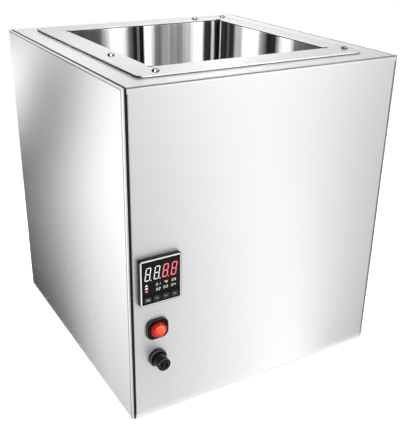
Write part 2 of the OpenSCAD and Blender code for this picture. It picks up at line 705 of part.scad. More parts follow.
// Rim bend along one side: what the bend rounds off, and the sheet under it
function rim_cut() = concat([[-over, over], [rim_r, over]], arc([rim_r, -rim_r], rim_r, 90, 180, 6), [[-over, -rim_r]]);
function rim_add() = concat([[tank_wall / 2, -flange_t / 2], [rim_r, -flange_t / 2]], arc([rim_r, -rim_r], rim_r - tank_wall, 90, 180, 6), [[tank_wall / 2, -rim_r]]);
module rim_side(half, l) translate([half, l / 2, flange_z1]) rotate([90, 0, 0]) linear_extrude(l) children();
module rim_all(short_by) translate([tank_x, tank_y, 0]) for (a = [0, 180]) rotate([0, 0, a]) {
    rim_side(tank_w / 2, tank_d - short_by) children();
    rotate([0, 0, 90]) rim_side(tank_d / 2, tank_w - short_by) children();
}

// Deep folded tank with a rounded rim, corner reliefs and a flange
module wax_tank() color("aliceblue") difference() {
    union() {
        along_z(flange_z0, flange_z1) polygon(rrect(flange_w, flange_d, flange_r));
        translate([tank_x, tank_y]) along_z(tank_z0, flange_z0 + flange_t / 2) polygon(rrect(2 * tank_ow, 2 * tank_od, tank_r + tank_wall));
        rim_all(2 * tank_r) polygon(rim_add());
    }
    translate([tank_x, tank_y]) along_z(tank_z0 + tank_wall, flange_z1 + over) polygon(rrect(tank_w, tank_d, tank_r));
    rim_all(0) polygon(rim_cut());
    for (sx = [-1, 1]) for (sy = [-1, 1]) translate([tank_x + sx * (tank_w / 2 - tank_r * 0.2), tank_y + sy * (tank_d / 2 - tank_r * 0.2), flange_z0 - rim_r]) cylinder(r = relief_r, h = rim_r + flange_t + over);
    tank_holes();
}

// Dark seal under the flange
module tank_seal() color("black") difference() {
    along_z(cab_h, flange_z0) polygon(rrect(flange_w - 2 * tank_seal_inset, flange_d - 2 * tank_seal_inset, flange_r - tank_seal_inset));
    translate([tank_x, tank_y]) along_z(cab_h - over, flange_z0 + over) polygon(rrect(2 * (tank_ow + tank_clear), 2 * (tank_od + tank_clear), tank_r + tank_clear));
    tank_holes();
}

module tank_screws() color("white") at_tank() button_screw(button_r, button_h, screw_r, tank_len);
module tank_nuts() color("darkgray") for (q = tank_pts) translate([q[0], q[1], cab_h - sheet_t - nut_h]) nut(nut_af, nut_h, screw_r);

// Mats on the four tank walls
module wall_heaters() color("orangered") translate([tank_x, tank_y, tank_z0 + heater_up]) for (a = [0, 180]) rotate([0, 0, a]) {
    slab([tank_ow, -heater_w / 2, 0], [mat_ow, heater_w / 2, heater_h]);
    slab([-heater_w / 2, tank_od, 0], [heater_w / 2, mat_od, heater_h]);
}
module floor_heater() color("orangered") slab([tank_x - floor_heater_w / 2, tank_y - floor_heater_w / 2, floor_ins_top], [tank_x + floor_heater_w / 2, tank_y + floor_heater_w / 2, tank_z0]);

// Upright slabs round the tank; the front one makes room for the controller, the left one for the probe
module wall_insulation() color("khaki") difference() {
    union() {
        slab([max(tank_x - tank_w / 2 + ins_end, ctl_x + ctl_body_w / 2 + clamp_rim + 3), tank_y - ins_od, base_top], [tank_x + tank_w / 2 - ins_end, tank_y - mat_od, ins_z1]);
        slab([tank_x - tank_w / 2 + ins_end, tank_y + mat_od, base_top], [tank_x + tank_w / 2 - ins_end, tank_y + ins_od, ins_z1]);
        slab([tank_x + mat_ow, tank_y - tank_d / 2 + ins_end, base_top], [tank_x + ins_ow, left_ins_y1, ins_z1]);
        slab([shield_x, left_ins_y0, base_top], [tank_x - mat_ow, left_ins_y1, ins_z1]);
    }
    bar_x([shield_x - over, lead_hole_y, lead_hole_z], lead_hole_r, ins_t + 2 * over);
    bar_x([shield_x - over, tank_y + limit_y, limit_z], limit_r + limit_clear, ins_t + 2 * over);
}
module floor_insulation() color("khaki") slab([tank_x - tray_w / 2, tank_y - tray_d / 2, tray_top], [tank_x + tray_w / 2, tank_y + tray_d / 2, floor_ins_top]);

// Bent shield between the heated side and the wiring lane
module heat_shield() color("lightsteelblue") difference() {
    along_y(left_ins_y0, left_ins_y1) polygon(bent([[shield_x, ins_z1], [shield_x, base_top], [shield_x - shield_foot, base_top]] * [[-1, 0], [0, 1]], return_r, shield_t) * [[-1, 0], [0, 1]]);
    bar_x([shield_x - 2 * shield_t, lead_hole_y, lead_hole_z], lead_hole_r, 4 * shield_t);
    bar_x([shield_x - 2 * shield_t, tank_y + limit_y, limit_z], limit_r + limit_clear, 4 * shield_t);
}

// Probe held against the left tank wall by a saddle clip
module temperature_probe() color("silver") translate([tank_x - tank_ow - probe_r - probe_clear, probe_y, probe_z]) cylinder(r = probe_r, h = probe_l);
module probe_clip() color("gray") difference() {
    slab([tank_x - tank_ow - 2 * probe_r - clip_t, probe_y - clip_w / 2, probe_z + probe_l / 2 - clip_w / 2], [tank_x - tank_ow, probe_y + clip_w / 2, probe_z + probe_l / 2 + clip_w / 2]);
    translate([tank_x - tank_ow - probe_r - probe_clear, probe_y, probe_z]) cylinder(r = probe_r + probe_clear, h = probe_l);
    slab([tank_x - tank_ow - probe_r, probe_y - probe_r - probe_clear, probe_z], [tank_x - tank_ow + over, probe_y + probe_r + probe_clear, probe_z + probe_l]);
}

// Disc thermostat on the tank wall with its two tabs
module limit_thermostat() color("saddlebrown") translate([tank_x - tank_ow, tank_y + limit_y, limit_z]) rotate([0, -90, 0]) {
    cylinder(r = limit_r, h = limit_t * 0.4);
    cylinder(r = limit_r * 0.8, h = limit_t);
    for (s = [-1, 1]) translate([s * limit_r * 0.5 - tab_t / 2, -tab_w / 2, limit_t * 0.9]) cube([tab_t, tab_w, tab_l * 0.8]);
}

// Bezel: a chamfered frame with a set back face, a window opening and four key openings
module controller_bezel() color("black") difference() {
    intersection() {
        along_y(yf - bezel_out, yf) translate([ctl_x, ctl_z]) polygon(rrect(bezel_w, bezel_h, bezel_r));
        translate([ctl_x, yf]) along_z(ctl_z - bezel_h, ctl_z + bezel_h) polygon([[-bezel_w / 2, 0], [-bezel_w / 2, bezel_edge - bezel_out], [bezel_edge - bezel_w / 2, -bezel_out], [bezel_w / 2 - bezel_edge, -bezel_out], [bezel_w / 2, bezel_edge - bezel_out], [bezel_w / 2, 0]]);
        translate([0, yf, ctl_z]) along_x(ctl_x - bezel_w, ctl_x + bezel_w) polygon([[0, -bezel_h / 2], [bezel_edge - bezel_out, -bezel_h / 2], [-bezel_out, bezel_edge - bezel_h / 2], [-bezel_out, bezel_h / 2 - bezel_edge], [bezel_edge - bezel_out, bezel_h / 2], [0, bezel_h / 2]]);
    }
    translate([ctl_x, 0, ctl_z]) {
        slab([lip_w - bezel_w / 2, yf - bezel_out - over, lip_w - bezel_h / 2], [bezel_w / 2 - lip_w, face_y, bezel_h / 2 - lip_w]);
        slab([bezel_wall - bezel_w / 2, face_in, bezel_wall - bezel_h / 2], [bezel_w / 2 - bezel_wall, yf + over, bezel_h / 2 - bezel_wall]);
        slab([-window_w / 2, face_y - over, window_up - window_h / 2], [window_w / 2, face_in + over, window_up + window_h / 2]);
    }
    for (i = [0:3]) at_key(i) along_y(face_y - over, face_in + over) polygon(rrect(key_w + 2 * key_clear, key_h + 2 * key_clear, key_r + key_clear));
}
module at_key(i) translate([ctl_x + (i - 1.5) * key_pitch, 0, key_z]) children();

// Smoked window, held by a rim behind the face
module controller_window() color("dimgray") translate([ctl_x, 0, ctl_z + window_up]) {
    slab([window_clear - window_w / 2, face_y, window_clear - window_h / 2], [window_w / 2 - window_clear, face_in + window_rim_t, window_h / 2 - window_clear]);
    slab([-window_w / 2 - window_rim, face_in, -window_h / 2 - window_rim], [window_w / 2 + window_rim, face_in + window_rim_t, window_h / 2 + window_rim]);
}

// Open fronted body behind the sheet
module controller_housing() color("#333333") translate([ctl_x, yf, ctl_z]) difference() {
    slab([-ctl_body_w / 2, 0, -ctl_body_h / 2], [ctl_body_w / 2, ctl_depth, ctl_body_h / 2]);
    slab([ctl_wall - ctl_body_w / 2, -over, ctl_wall - ctl_body_h / 2], [ctl_body_w / 2 - ctl_wall, ctl_depth - ctl_wall, ctl_body_h / 2 - ctl_wall]);
}

// Circuit board with the display block and one tact switch behind each key
module controller_board() color("darkgreen") {
    slab([ctl_x - ctl_body_w / 2 + ctl_wall, yf + board_set, ctl_z - ctl_body_h / 2 + ctl_wall], [ctl_x + ctl_body_w / 2 - ctl_wall, yf + board_set + board_t, ctl_z + ctl_body_h / 2 - ctl_wall]);
    slab([ctl_x - window_w * 0.46, face_in + window_rim_t, ctl_z + window_up - window_h * 0.25], [ctl_x + window_w * 0.46, yf + board_set, ctl_z + window_up + window_h * 0.4]);
    for (i = [0:3]) at_key(i) slab([-key_h * 0.3, key_back_y + key_travel + key_clear, -key_h * 0.3], [key_h * 0.3, yf + board_set, key_h * 0.3]);
}

// Frame that clamps the body from behind the sheet
module controller_clamp() color("dimgray") translate([ctl_x, yf + sheet_t, ctl_z]) difference() {
    slab([-ctl_body_w / 2 - clamp_rim, 0, -ctl_body_h / 2 - clamp_rim], [ctl_body_w / 2 + clamp_rim, clamp_d, ctl_body_h / 2 + clamp_rim]);
    slab([-ctl_body_w / 2, -over, -ctl_body_h / 2], [ctl_body_w / 2, clamp_d + over, ctl_body_h / 2]);
}
module controller_terminals() color("gold") for (s = [-1, 1]) for (i = [0:5]) bar_y([ctl_x + s * term_row, yf + ctl_depth, ctl_z + (i - 2.5) * term_pitch], term_r, term_h);

// Keys: a cap in front of a rim that stays behind the face
module key(i) at_key(i) {
    along_y(face_y - key_out, key_rim_y) polygon(rrect(key_w, key_h, key_r));
    along_y(key_rim_y, key_back_y) polygon(rrect(key_w + 2 * (key_clear + key_rim), key_h + 2 * (key_clear + key_rim), key_r));
}
module key_mode() color("#3a3a3a") key(0);
module key_shift() color("#3a3a3a") key(1);
module key_down() color("#3a3a3a") key(2);
module key_up_button() color("#3a3a3a") key(3);

// Switch: a plate with round corners and a barrel that guides the button
module switch_body() color("black") difference() {
    union() {
        along_y(switch_front + switch_edge, yf) translate([btn_x, switch_z]) polygon(rrect(switch_w, switch_h, switch_plate_r));
        along_y(switch_front, switch_front + switch_edge) translate([btn_x, switch_z]) polygon(rrect(switch_w - 2 * switch_edge, switch_h - 2 * switch_edge, switch_plate_r - switch_edge));
        bar_y([btn_x, yf - switch_plate_t / 2, switch_z], switch_barrel_r, switch_l + switch_plate_t / 2);
    }
    bar_y([btn_x, switch_front - over, switch_z], btn_r + btn_clear, over + btn_in);
    bar_y([btn_x, switch_front + btn_lip, switch_z], btn_r + btn_rim + btn_clear, btn_in - btn_lip + btn_travel + over);
}
module switch_nut() color("dimgray") bar_nut(switch_z, 2 * (switch_barrel_r + switch_nut_rim) * cos(30), switch_nut_h, switch_barrel_r);
module bar_nut(z, af, h, r) translate([btn_x, yf + sheet_t, z]) rotate([-90, 0, 0]) nut(af, h, r);
module switch_tabs() color("goldenrod") for (s = [-1, 1]) slab([btn_x + s * tab_off - tab_t / 2, yf + switch_l, switch_z - tab_w / 2], [btn_x + s * tab_off + tab_t / 2, yf + switch_l + tab_l, switch_z + tab_w / 2]);

// Red button that slides in the switch, with a rim behind the lip of the bore
module power_button() color("red") turned_y([btn_x, switch_front, switch_z])
    polygon([[0, -btn_in], [btn_r + btn_rim, -btn_in], [btn_r + btn_rim, btn_rim_t - btn_in], [btn_r, btn_rim_t - btn_in], [btn_r, btn_out - btn_slope], [btn_face_r, btn_out], [0, btn_out]]);

// Fuse holder: a bevelled flange and a barrel with a blind bore
module fuse_body() color("black") difference() {
    turned_y([btn_x, yf, fuse_z]) polygon([[0, -fuse_l], [fuse_barrel_r, -fuse_l], [fuse_barrel_r, 0], [fuse_flange_r, 0], [fuse_flange_r, fuse_flange_t - fuse_bevel], [fuse_flange_r - fuse_bevel, fuse_flange_t], [0, fuse_flange_t]]);
    bar_y([btn_x, fuse_front - over, fuse_z], stem_r + stem_clear, over + fuse_flange_t + fuse_l - 4);
}
module fuse_nut() color("dimgray") bar_nut(fuse_z, fuse_nut_af, fuse_nut_h, fuse_barrel_r);
module fuse_tabs() color("goldenrod") slab([btn_x - tab_w / 2, yf + fuse_l, fuse_z - tab_t / 2], [btn_x + tab_w / 2, yf + fuse_l + tab_l, fuse_z + tab_t / 2]);

// Screw cap with a dished end, a coin bar and a hollow stem for the fuse
module fuse_cap() color("black") union() {
    difference() {
        turned_y([btn_x, cap_back, fuse_z]) polygon([[0, -stem_l], [stem_r, -stem_l], [stem_r, 0], [cap_r, 0], [cap_r, cap_l - cap_edge], [cap_r - cap_edge, cap_l], [0, cap_l]]);
        bar_y([btn_x, cap_front - over, fuse_z], cap_dish_r, cap_dish + over);
        bar_y([btn_x, fuse_y0 - fuse_clear, fuse_z], fuse_r + fuse_clear, stem_l);
    }
    slab([btn_x - cap_bar / 2, cap_front + cap_edge, fuse_z - cap_dish_r], [btn_x + cap_bar / 2, cap_front + cap_dish + cap_edge, fuse_z + cap_dish_r]);
}
module fuse_cartridge() color("lightcyan") bar_y([btn_x, fuse_y0, fuse_z], fuse_r, fuse_len);

// Heat spreading plate on the rear panel with the relay on it
module relay_plate() color("silver") difference() {
    slab([bay_x - relay_plate_w / 2, relay_y, relay_z - relay_plate_h / 2], [bay_x + relay_plate_w / 2, yr, relay_z + relay_plate_h / 2]);
    for (s = [-1, 1]) bar_y([bay_x, relay_y - over, relay_z + s * relay_screw_z], screw_r + nut_clear, relay_plate_t + 2 * over);
}
module relay_plate_screws() color("dimgray") for (s = [-1, 1]) translate([bay_x, yb, relay_z + s * relay_screw_z]) rotate([-90, 0, 0]) pan_screw(pan_r, pan_h, screw_r, sheet_t + relay_plate_t - drive_depth);
module relay() color("#222222") difference() {
    slab([bay_x - relay_w / 2, relay_y - relay_d, relay_z - relay_h / 2], [bay_x + relay_w / 2, relay_y, relay_z + relay_h / 2]);
    for (s = [-1, 1]) slab([bay_x - relay_w / 2 - over, relay_y - relay_d - over, relay_z + s * relay_term_z - relay_term_r * 1.3], [bay_x + relay_w / 2 + over, relay_y - relay_d + relay_term_h * 2, relay_z + s * relay_term_z + relay_term_r * 1.3]);
}
module relay_terminals() color("gold") for (sx = [-1, 1]) for (sz = [-1, 1]) bar_y([bay_x + sx * relay_term_x, relay_y - relay_d + relay_term_h, relay_z + sz * relay_term_z], relay_term_r, relay_term_h);

// Terminal block on the shield, with grooves between its poles
module terminal_block() color("ivory") difference() {
    slab([shield_x - shield_t - block_d, -block_l / 2, block_z], [shield_x - shield_t, block_l / 2, block_z + block_h]);
    for (i = [0:block_n]) slab([shield_x - shield_t - block_d - over, (i - block_n / 2) * block_pitch - block_slit / 2, block_z + block_h - block_groove], [shield_x - shield_t - block_d * 0.3, (i - block_n / 2) * block_pitch + block_slit / 2, block_z + block_h + over]);
}
module block_screws() color("gold") for (i = [0:block_n - 1]) translate([shield_x - shield_t - block_d - term_h, (i - (block_n - 1) / 2) * block_pitch, block_z + block_h / 2]) rotate([0, 90, 0]) cylinder(r = term_r, h = term_h);

// Mains inlet: an outer flange and a body with a deep six-cornered socket
module power_inlet() color("black") difference() {
    union() {
        along_y(yb, yb + inlet_t) translate([bay_x, inlet_z]) polygon(rrect(inlet_w, inlet_h, inlet_r));
        slab([bay_x - inlet_body_w / 2, yb - inlet_body_d, inlet_z - inlet_body_h / 2], [bay_x + inlet_body_w / 2, yb + inlet_t / 2, inlet_z + inlet_body_h / 2]);
    }
    along_y(yb + inlet_t - socket_d, yb + inlet_t + over) translate([bay_x, inlet_z]) polygon([[-socket_w / 2, -socket_h / 2], [socket_w / 2 - socket_cut, -socket_h / 2], [socket_w / 2, socket_cut - socket_h / 2], [socket_w / 2, socket_h / 2 - socket_cut], [socket_w / 2 - socket_cut, socket_h / 2], [-socket_w / 2, socket_h / 2]]);
    for (s = [-1, 1]) bar_y([bay_x, yb - over, inlet_z + s * inlet_screw], screw_r * 0.75 + screw_clear, inlet_t + 2 * over);
    for (i = [-1:1]) at_pin(i) slab([-pin_t / 2, -inlet_body_d - over, -pin_w / 2], [pin_t / 2, 0, pin_w / 2]);
}
module at_pin(i) translate([bay_x + (i == 0 ? pin_off : -pin_off), yb, inlet_z + i * pin_pitch]) children();
module inlet_pins() color("silver") for (i = [-1:1]) at_pin(i) slab([-pin_t / 2, -inlet_body_d - tab_l, -pin_w / 2], [pin_t / 2, inlet_t - socket_d + pin_l, pin_w / 2]);
module inlet_screws() color("dimgray") for (s = [-1, 1]) translate([bay_x, yb + inlet_t, inlet_z + s * inlet_screw]) rotate([-90, 0, 0]) pan_screw(pan_r * 0.75, pan_h, screw_r * 0.75, inlet_t + sheet_t + nut_h + screw_past);
module inlet_nuts() color("darkgray") for (s = [-1, 1]) translate([bay_x, yr - nut_h, inlet_z + s * inlet_screw]) rotate([-90, 0, 0]) nut(nut_af * 0.8, nut_h, screw_r * 0.75);

// Earth stud on the base pan
module earth_stud() color("goldenrod") translate([xl + earth_inset, yb - earth_back, base_top]) cylinder(r = earth_r, h = earth_h);
module earth_nut() color("gold") translate([xl + earth_inset, yb - earth_back, base_top]) nut(earth_af, earth_nut_h, earth_r);

// Smooth route through the chosen points, n steps between each pair
function route(p, n) = let (k = len(p)) concat(
    [for (i = [0:k - 2]) for (j = [0:n - 1]) let (a = p[max(i - 1, 0)], b = p[i], c = p[i + 1], d = p[min(i + 2, k - 1)], t = j / n)
        0.5 * (2 * b + (c - a) * t + (2 * a - 5 * b + 4 * c - d) * t * t + (3 * b - a - 3 * c + d) * t * t * t)], [p[k - 1]]);

// Tube swept along a route with m sides
module tube(p, r, m = 8) {
    q = route(p, wire_n);
    k = len(q);
    dir = [for (i = [0:k - 1]) i == 0 ? unit(p[1] - p[0]) : i == k - 1 ? unit(p[len(p) - 1] - p[len(p) - 2]) : unit(q[i + 1] - q[i - 1])];
    side = [for (i = [0:k - 1]) unit(cross(dir[i], abs(dir[i][0]) > 0.8 ? [0, 0.3, 1] : [1, 0.3, 0.1]))];
    pts = [for (i = [0:k - 1]) for (j = [0:m - 1]) q[i] + r * (cos(360 * j / m) * side[i] + sin(360 * j / m) * cross(dir[i], side[i]))];
    faces = concat([[for (j = [0:m - 1]) m - 1 - j]], [[for (j = [0:m - 1]) (k - 1) * m + j]],
        [for (i = [0:k - 2]) for (j = [0:m - 1]) each [[i * m + j, i * m + (j + 1) % m, (i + 1) * m + j], [i * m + (j + 1) % m, (i + 1) * m + (j + 1) % m, (i + 1) * m + j]]]);
    polyhedron(pts, faces);
}
module wiring() color("#444444") {
    tube(lead_mains, wire_r);
    tube(lead_fuse, wire_r);
    tube(lead_relay, wire_r);
    tube(lead_heater, wire_r);
    tube(lead_probe, wire_r);
}

base_pan();
right_side_panel();
left_access_panel();
access_seal();
front_top_cover();
rear_panel();
rear_screws();
rear_nuts();
tank_tray();
wax_tank();
tank_seal();
tank_screws();
tank_nuts();
wall_heaters();
floor_heater();
wall_insulation();
floor_insulation();
heat_shield();
temperature_probe();
probe_clip();
limit_thermostat();
controller_bezel();
controller_window();
controller_housing();
controller_board();
controller_clamp();
controller_terminals();
key_mode();
key_shift();
key_down();
key_up_button();  // key_up
switch_body();
switch_nut();
switch_tabs();
power_button();
fuse_body();
fuse_nut();
fuse_tabs();
fuse_cap();
fuse_cartridge();
relay_plate();
relay_plate_screws();
relay();
relay_terminals();
terminal_block();
block_screws();
power_inlet();
inlet_pins();
inlet_screws();
inlet_nuts();
earth_stud();
earth_nut();
wiring();
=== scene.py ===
import bmesh
import bpy
import numpy as np
from mathutils import Matrix, Vector


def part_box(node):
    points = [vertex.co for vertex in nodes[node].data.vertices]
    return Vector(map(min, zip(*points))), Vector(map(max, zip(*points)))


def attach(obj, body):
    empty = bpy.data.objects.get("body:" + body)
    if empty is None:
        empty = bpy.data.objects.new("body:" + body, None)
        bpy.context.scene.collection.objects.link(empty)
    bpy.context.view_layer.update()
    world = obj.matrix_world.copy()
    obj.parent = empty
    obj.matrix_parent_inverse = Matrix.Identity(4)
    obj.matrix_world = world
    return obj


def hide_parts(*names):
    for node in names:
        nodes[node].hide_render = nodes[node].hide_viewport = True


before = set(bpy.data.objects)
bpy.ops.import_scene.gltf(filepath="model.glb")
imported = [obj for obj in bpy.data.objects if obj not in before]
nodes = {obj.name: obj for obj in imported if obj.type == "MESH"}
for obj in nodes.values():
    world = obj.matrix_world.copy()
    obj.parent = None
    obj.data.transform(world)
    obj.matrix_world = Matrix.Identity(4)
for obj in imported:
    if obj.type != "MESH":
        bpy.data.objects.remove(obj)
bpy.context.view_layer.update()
scene = bpy.context.scene

# Studio
# A pale matt floor that runs out of sight, soft boxes over it, and a camera that
# stands where the photographer stood, at the front left and looking down.
for spare in ("Cube", "Light", "Camera"):
    if spare in bpy.data.objects:
        bpy.data.objects.remove(bpy.data.objects[spare])
scene.view_settings.view_transform = "Standard"


def feed(node, inputs):
    """Set inputs of a node: a socket is joined to its input, a plain value goes on the input itself."""
    for label, value in inputs.items():
        if isinstance(value, bpy.types.NodeSocket):
            node.id_data.links.new(value, node.inputs[label])
        else:
            node.inputs[label].default_value = value


def add(tree, kind, inputs=None, **settings):
    """A shader node of this kind, with its settings made first and its inputs fed after them."""
    node = tree.nodes.new("ShaderNode" + kind)
    for label, value in settings.items():
        setattr(node, label, value)
    feed(node, inputs or {})
    return node


def new_material(name):
    """An empty node material; gives it and its Principled shader, which is wired to the output."""
    made = bpy.data.materials.new(name)
    made.use_nodes = True
    made.node_tree.nodes.clear()
    shader = add(made.node_tree, "BsdfPrincipled")
    add(made.node_tree, "OutputMaterial", {"Surface": shader.outputs["BSDF"]})
    return made, shader


def dress(made, *pieces):
    """Give pieces this one finish in place of what they came with; a CAD node is given by its name."""
    for piece in pieces:
        finishes = (nodes[piece] if isinstance(piece, str) else piece).data.materials
        finishes.clear()
        finishes.append(made)


def lying(left, right, front, back, height=0.001):
    """The four corners of a level rectangle, taken round from the front left."""
    return [(left, front, height), (right, front, height), (right, back, height), (left, back, height)]


def flat_sheet(name, corners):
    """A flat sheet through four corners, put into the scene."""
    mesh = bpy.data.meshes.new(name)
    mesh.from_pydata(corners, [], [(0, 1, 2, 3)])
    sheet = bpy.data.objects.new(name, mesh)
    scene.collection.objects.link(sheet)
    return sheet


floor_paint, shader = new_material("studio_floor")
feed(shader, {"Base Color": (0.92, 0.92, 0.92, 1), "Roughness": 0.9, "Specular IOR Level": 0.1,
              "Emission Color": (1, 1, 1, 1), "Emission Strength": 0.62})
floor_reach = 12.0
floor = flat_sheet("floor", lying(-floor_reach, floor_reach, -floor_reach, floor_reach, 0))
dress(floor_paint, floor)


def soft_box(name, place, aim, wide, deep, watts, spread=180):
    """A flat rectangular lamp that faces the point it is aimed at, with its beam in a spread of degrees."""
    lamp = bpy.data.lights.new(name, "AREA")
    lamp.shape = "RECTANGLE"
    lamp.size, lamp.size_y = wide, deep
    lamp.energy = watts
    lamp.spread = np.radians(spread)
    box = bpy.data.objects.new(name, lamp)
    box.location = place
    box.rotation_euler = (Vector(aim) - Vector(place)).to_track_quat("-Z", "Y").to_euler()
    box.visible_camera = False
    scene.collection.objects.link(box)


soft_box("over_left", (-0.65, -0.45, 1.9), (-0.65, -0.45, 0), 0.8, 0.8, 3.6, 120)
soft_box("over_left_front", (-0.55, -0.75, 1.2), (-0.55, -0.6, 0), 0.5, 0.5, 1.5, 80)
soft_box("key_front_right", (0.7, -1.2, 0.9), (0, -0.2, 0.2), 0.5, 0.5, 3.4)
soft_box("strip_front_right", (0.848, -1.357, 0.82), (0, 0, 0.82), 0.45, 1.6, 0.6)
soft_box("into_tank", (-0.28, -0.28, 0.95), (0.09, 0.09, 0.33), 0.2, 0.2, 1.6, 45)


def from_to(socket, low, high, first=0.0, last=1.0):
    """A value moved from the span low to high onto the span first to last, and held at its ends."""
    spans = {"Value": socket, "From Min": low, "From Max": high, "To Min": first, "To Max": last}
    return add(socket.id_data, "MapRange", spans).outputs["Result"]


world = bpy.data.worlds.new("studio_room")
scene.world = world
world.use_nodes = True
room_light, backdrop_light = 0.45, 1.0
seen = add(world.node_tree, "LightPath").outputs["Is Camera Ray"]
feed(world.node_tree.nodes["Background"],
     {"Color": (1, 1, 1, 1), "Strength": from_to(seen, 0, 1, room_light, backdrop_light)})

eye = np.array((-0.42186, -0.74209, 0.53231))
aim = np.array((-0.08605, -0.178, 0.23368))
tilt = 0.0162
film, picture_high, focal_pixels = 36, 436, 690.6
ahead = (aim - eye) / np.linalg.norm(aim - eye)
level = np.cross(ahead, (0, 0, 1))
level /= np.linalg.norm(level)
plumb = np.cross(ahead, level)
right = np.cos(tilt) * level - np.sin(tilt) * plumb
down = np.sin(tilt) * level + np.cos(tilt) * plumb
lens = bpy.data.cameras.new("camera")
lens.sensor_width = film
lens.lens = focal_pixels * film / picture_high
lens.clip_start, lens.clip_end = 0.01, 60
camera = bpy.data.objects.new("camera", lens)
stand = np.eye(4)
stand[:3] = np.stack([right, -down, -ahead, eye], 1)
camera.matrix_world = Matrix(stand.tolist())
scene.collection.objects.link(camera)
scene.camera = camera

# Graded cards
# Glowing cards round the cabinet, four on the floor and one stood up behind, which show only
# in reflections. Their tones run off to one side, so that each sheet is graded across; some of
# their dark tones are painted shadow of the cabinet on the floor.


def places(node):
    """Where each point of a piece lies, in metres, for a node of its finish."""
    return add(node.id_data, "TexCoord").outputs["Object"]


def axes(vector):
    """The X, Y and Z of a vector, as sockets by name."""
    return add(vector.id_data, "SeparateXYZ", {"Vector": vector}).outputs


def reckon(operation, *terms):
    """One step of arithmetic on one to three terms, each a socket or a plain number."""
    tree = next(term.id_data for term in terms if isinstance(term, bpy.types.NodeSocket))
    return add(tree, "Math", dict(enumerate(terms)), operation=operation).outputs[0]


def times(product, *factors):
    """The product of all its terms."""
    for factor in factors:
        product = reckon("MULTIPLY", product, factor)
    return product


def ramp(socket, stops):
    """A colour ramp read at a value from 0 to 1; each stop is a place and a grey or a colour."""
    node = add(socket.id_data, "ValToRGB", {"Fac": socket})
    bar = node.color_ramp.elements
    bar.remove(bar[1])
    for number, (place, tone) in enumerate(stops):
        stop = bar[0] if number == 0 else bar.new(place)
        stop.position = place
        stop.color = (*((tone,) * 3 if isinstance(tone, (int, float)) else tone), 1)
    return node.outputs["Color"]


def tinted(tone, share):
    """A colour made lighter or darker by a share about 1."""
    return add(tone.id_data, "VectorMath", {0: tone, "Scale": share}, operation="SCALE").outputs["Vector"]


def mixed(one, other, share):
    """Two colours run together: only the one at a share of 0, only the other at a share of 1."""
    mix = add(share.id_data, "Mix", {"A": one, "B": other, "Factor": share}, data_type="RGBA")
    return mix.outputs["Result"]


def graded_card(name, corners, strength):
    """A flat card that only mirrors see; gives its glowing shader and the X, Y and Z of its points."""
    card = flat_sheet(name, corners)
    card.visible_camera = card.visible_diffuse = False
    card.visible_shadow = card.visible_transmission = False
    card_glow, shader = new_material(name)
    feed(shader, {"Emission Strength": strength, "Base Color": (0, 0, 0, 1), "Specular IOR Level": 0.0})
    dress(card_glow, card)
    return shader, axes(places(shader))


# The tones of the cards at the left and the front fan out from a point on the floor.
shader, at = graded_card("card_left", lying(-1.7, -0.171, -0.35, 3.4), 1.52)
fan_x, fan_y = 0.082, -0.742
fan = reckon("DIVIDE", reckon("SUBTRACT", fan_x, at["X"]), reckon("SUBTRACT", at["Y"], fan_y))
# The card at the left is a painted shadow of the cabinet on the floor. It is dark behind the panel, darker
# near its foot and in a band further out, and has a painted glint far out.
tone = ramp(from_to(fan, 0.24, 0.48),
            [(0.0, 0.07), (0.2, 0.12), (0.38, 0.28), (0.54, 0.70), (0.68, 0.95), (1.0, 1.0)])
painted_foot_shadow = from_to(at["X"], -0.171, -0.42, 0.54, 1.0)
painted_dark_band = times(from_to(at["X"], -0.36, -0.60, 0, 0.92), from_to(fan, 0.40, 0.36), from_to(fan, 0.285, 0.315))
painted_glint = times(from_to(fan, 0.296, 0.272, 0, 1.4), from_to(at["X"], -0.31, -0.44))
tone = tinted(tone, reckon("SUBTRACT", painted_foot_shadow, painted_dark_band))
lit = add(tone.id_data, "VectorMath", {0: tone, 1: painted_glint}, operation="ADD").outputs["Vector"]
feed(shader, {"Emission Color": lit})

shader, at = graded_card("card_front", lying(-0.6, 2.6, -2.6, -0.182), 1.55)
fan_x, fan_y = -0.422, 0.386
fan = reckon("DIVIDE", reckon("SUBTRACT", at["X"], fan_x), reckon("SUBTRACT", fan_y, at["Y"]))
across = from_to(fan, 0.44, 1.06)
tone = ramp(across, [(0.0, 0.40), (0.2, 0.55), (0.4, 0.80), (0.56, 1.0), (0.68, 0.96), (0.82, 0.42),
                     (1.0, 0.16)])
far_tone = ramp(across, [(0.0, 0.30), (0.2, 0.52), (0.33, 0.78), (0.44, 0.97), (0.60, 1.0), (0.66, 0.86),
                         (0.75, 0.34), (1.0, 0.05)])
far_tone = tinted(far_tone, from_to(fan, 0.64, 0.74, 1.0, 1.27))
tone = mixed(tone, far_tone, from_to(at["Y"], -0.42, -0.62))
# Near the front of the cabinet the card turns grey, as painted shade at the cabinet's foot.
painted_foot_shade_grey = (0.58, 0.58, 0.58, 1)
tone = mixed(tone, painted_foot_shade_grey, from_to(at["Y"], -0.45, -0.19, 0, 0.35))
feed(shader, {"Emission Color": tone})

stood_corners = [(-0.8, 1.6, 0.05), (3.2, 1.6, 0.05), (3.2, 1.6, 1.9), (-0.8, 1.6, 1.9)]
shader, at = graded_card("card_back", stood_corners, 1.25)
tone = ramp(from_to(at["X"], 0.28, 1.92),
            [(0.0, 0.98), (0.12, 0.92), (0.22, 0.90), (0.32, 0.94), (0.42, 1.12), (0.49, 1.32),
             (0.57, 1.06), (0.66, 0.85), (0.75, 0.80), (0.87, 0.78), (1.0, 0.76)])
foot_tone = from_to(at["X"], 0.3, 1.15, 0.92, 0.60)
tone = mixed(foot_tone, tone, from_to(at["Z"], 0.62, 0.76))
feed(shader, {"Emission Color": tinted(tone, from_to(at["Z"], 0.58, 0.82, 0.60, 0.90))})

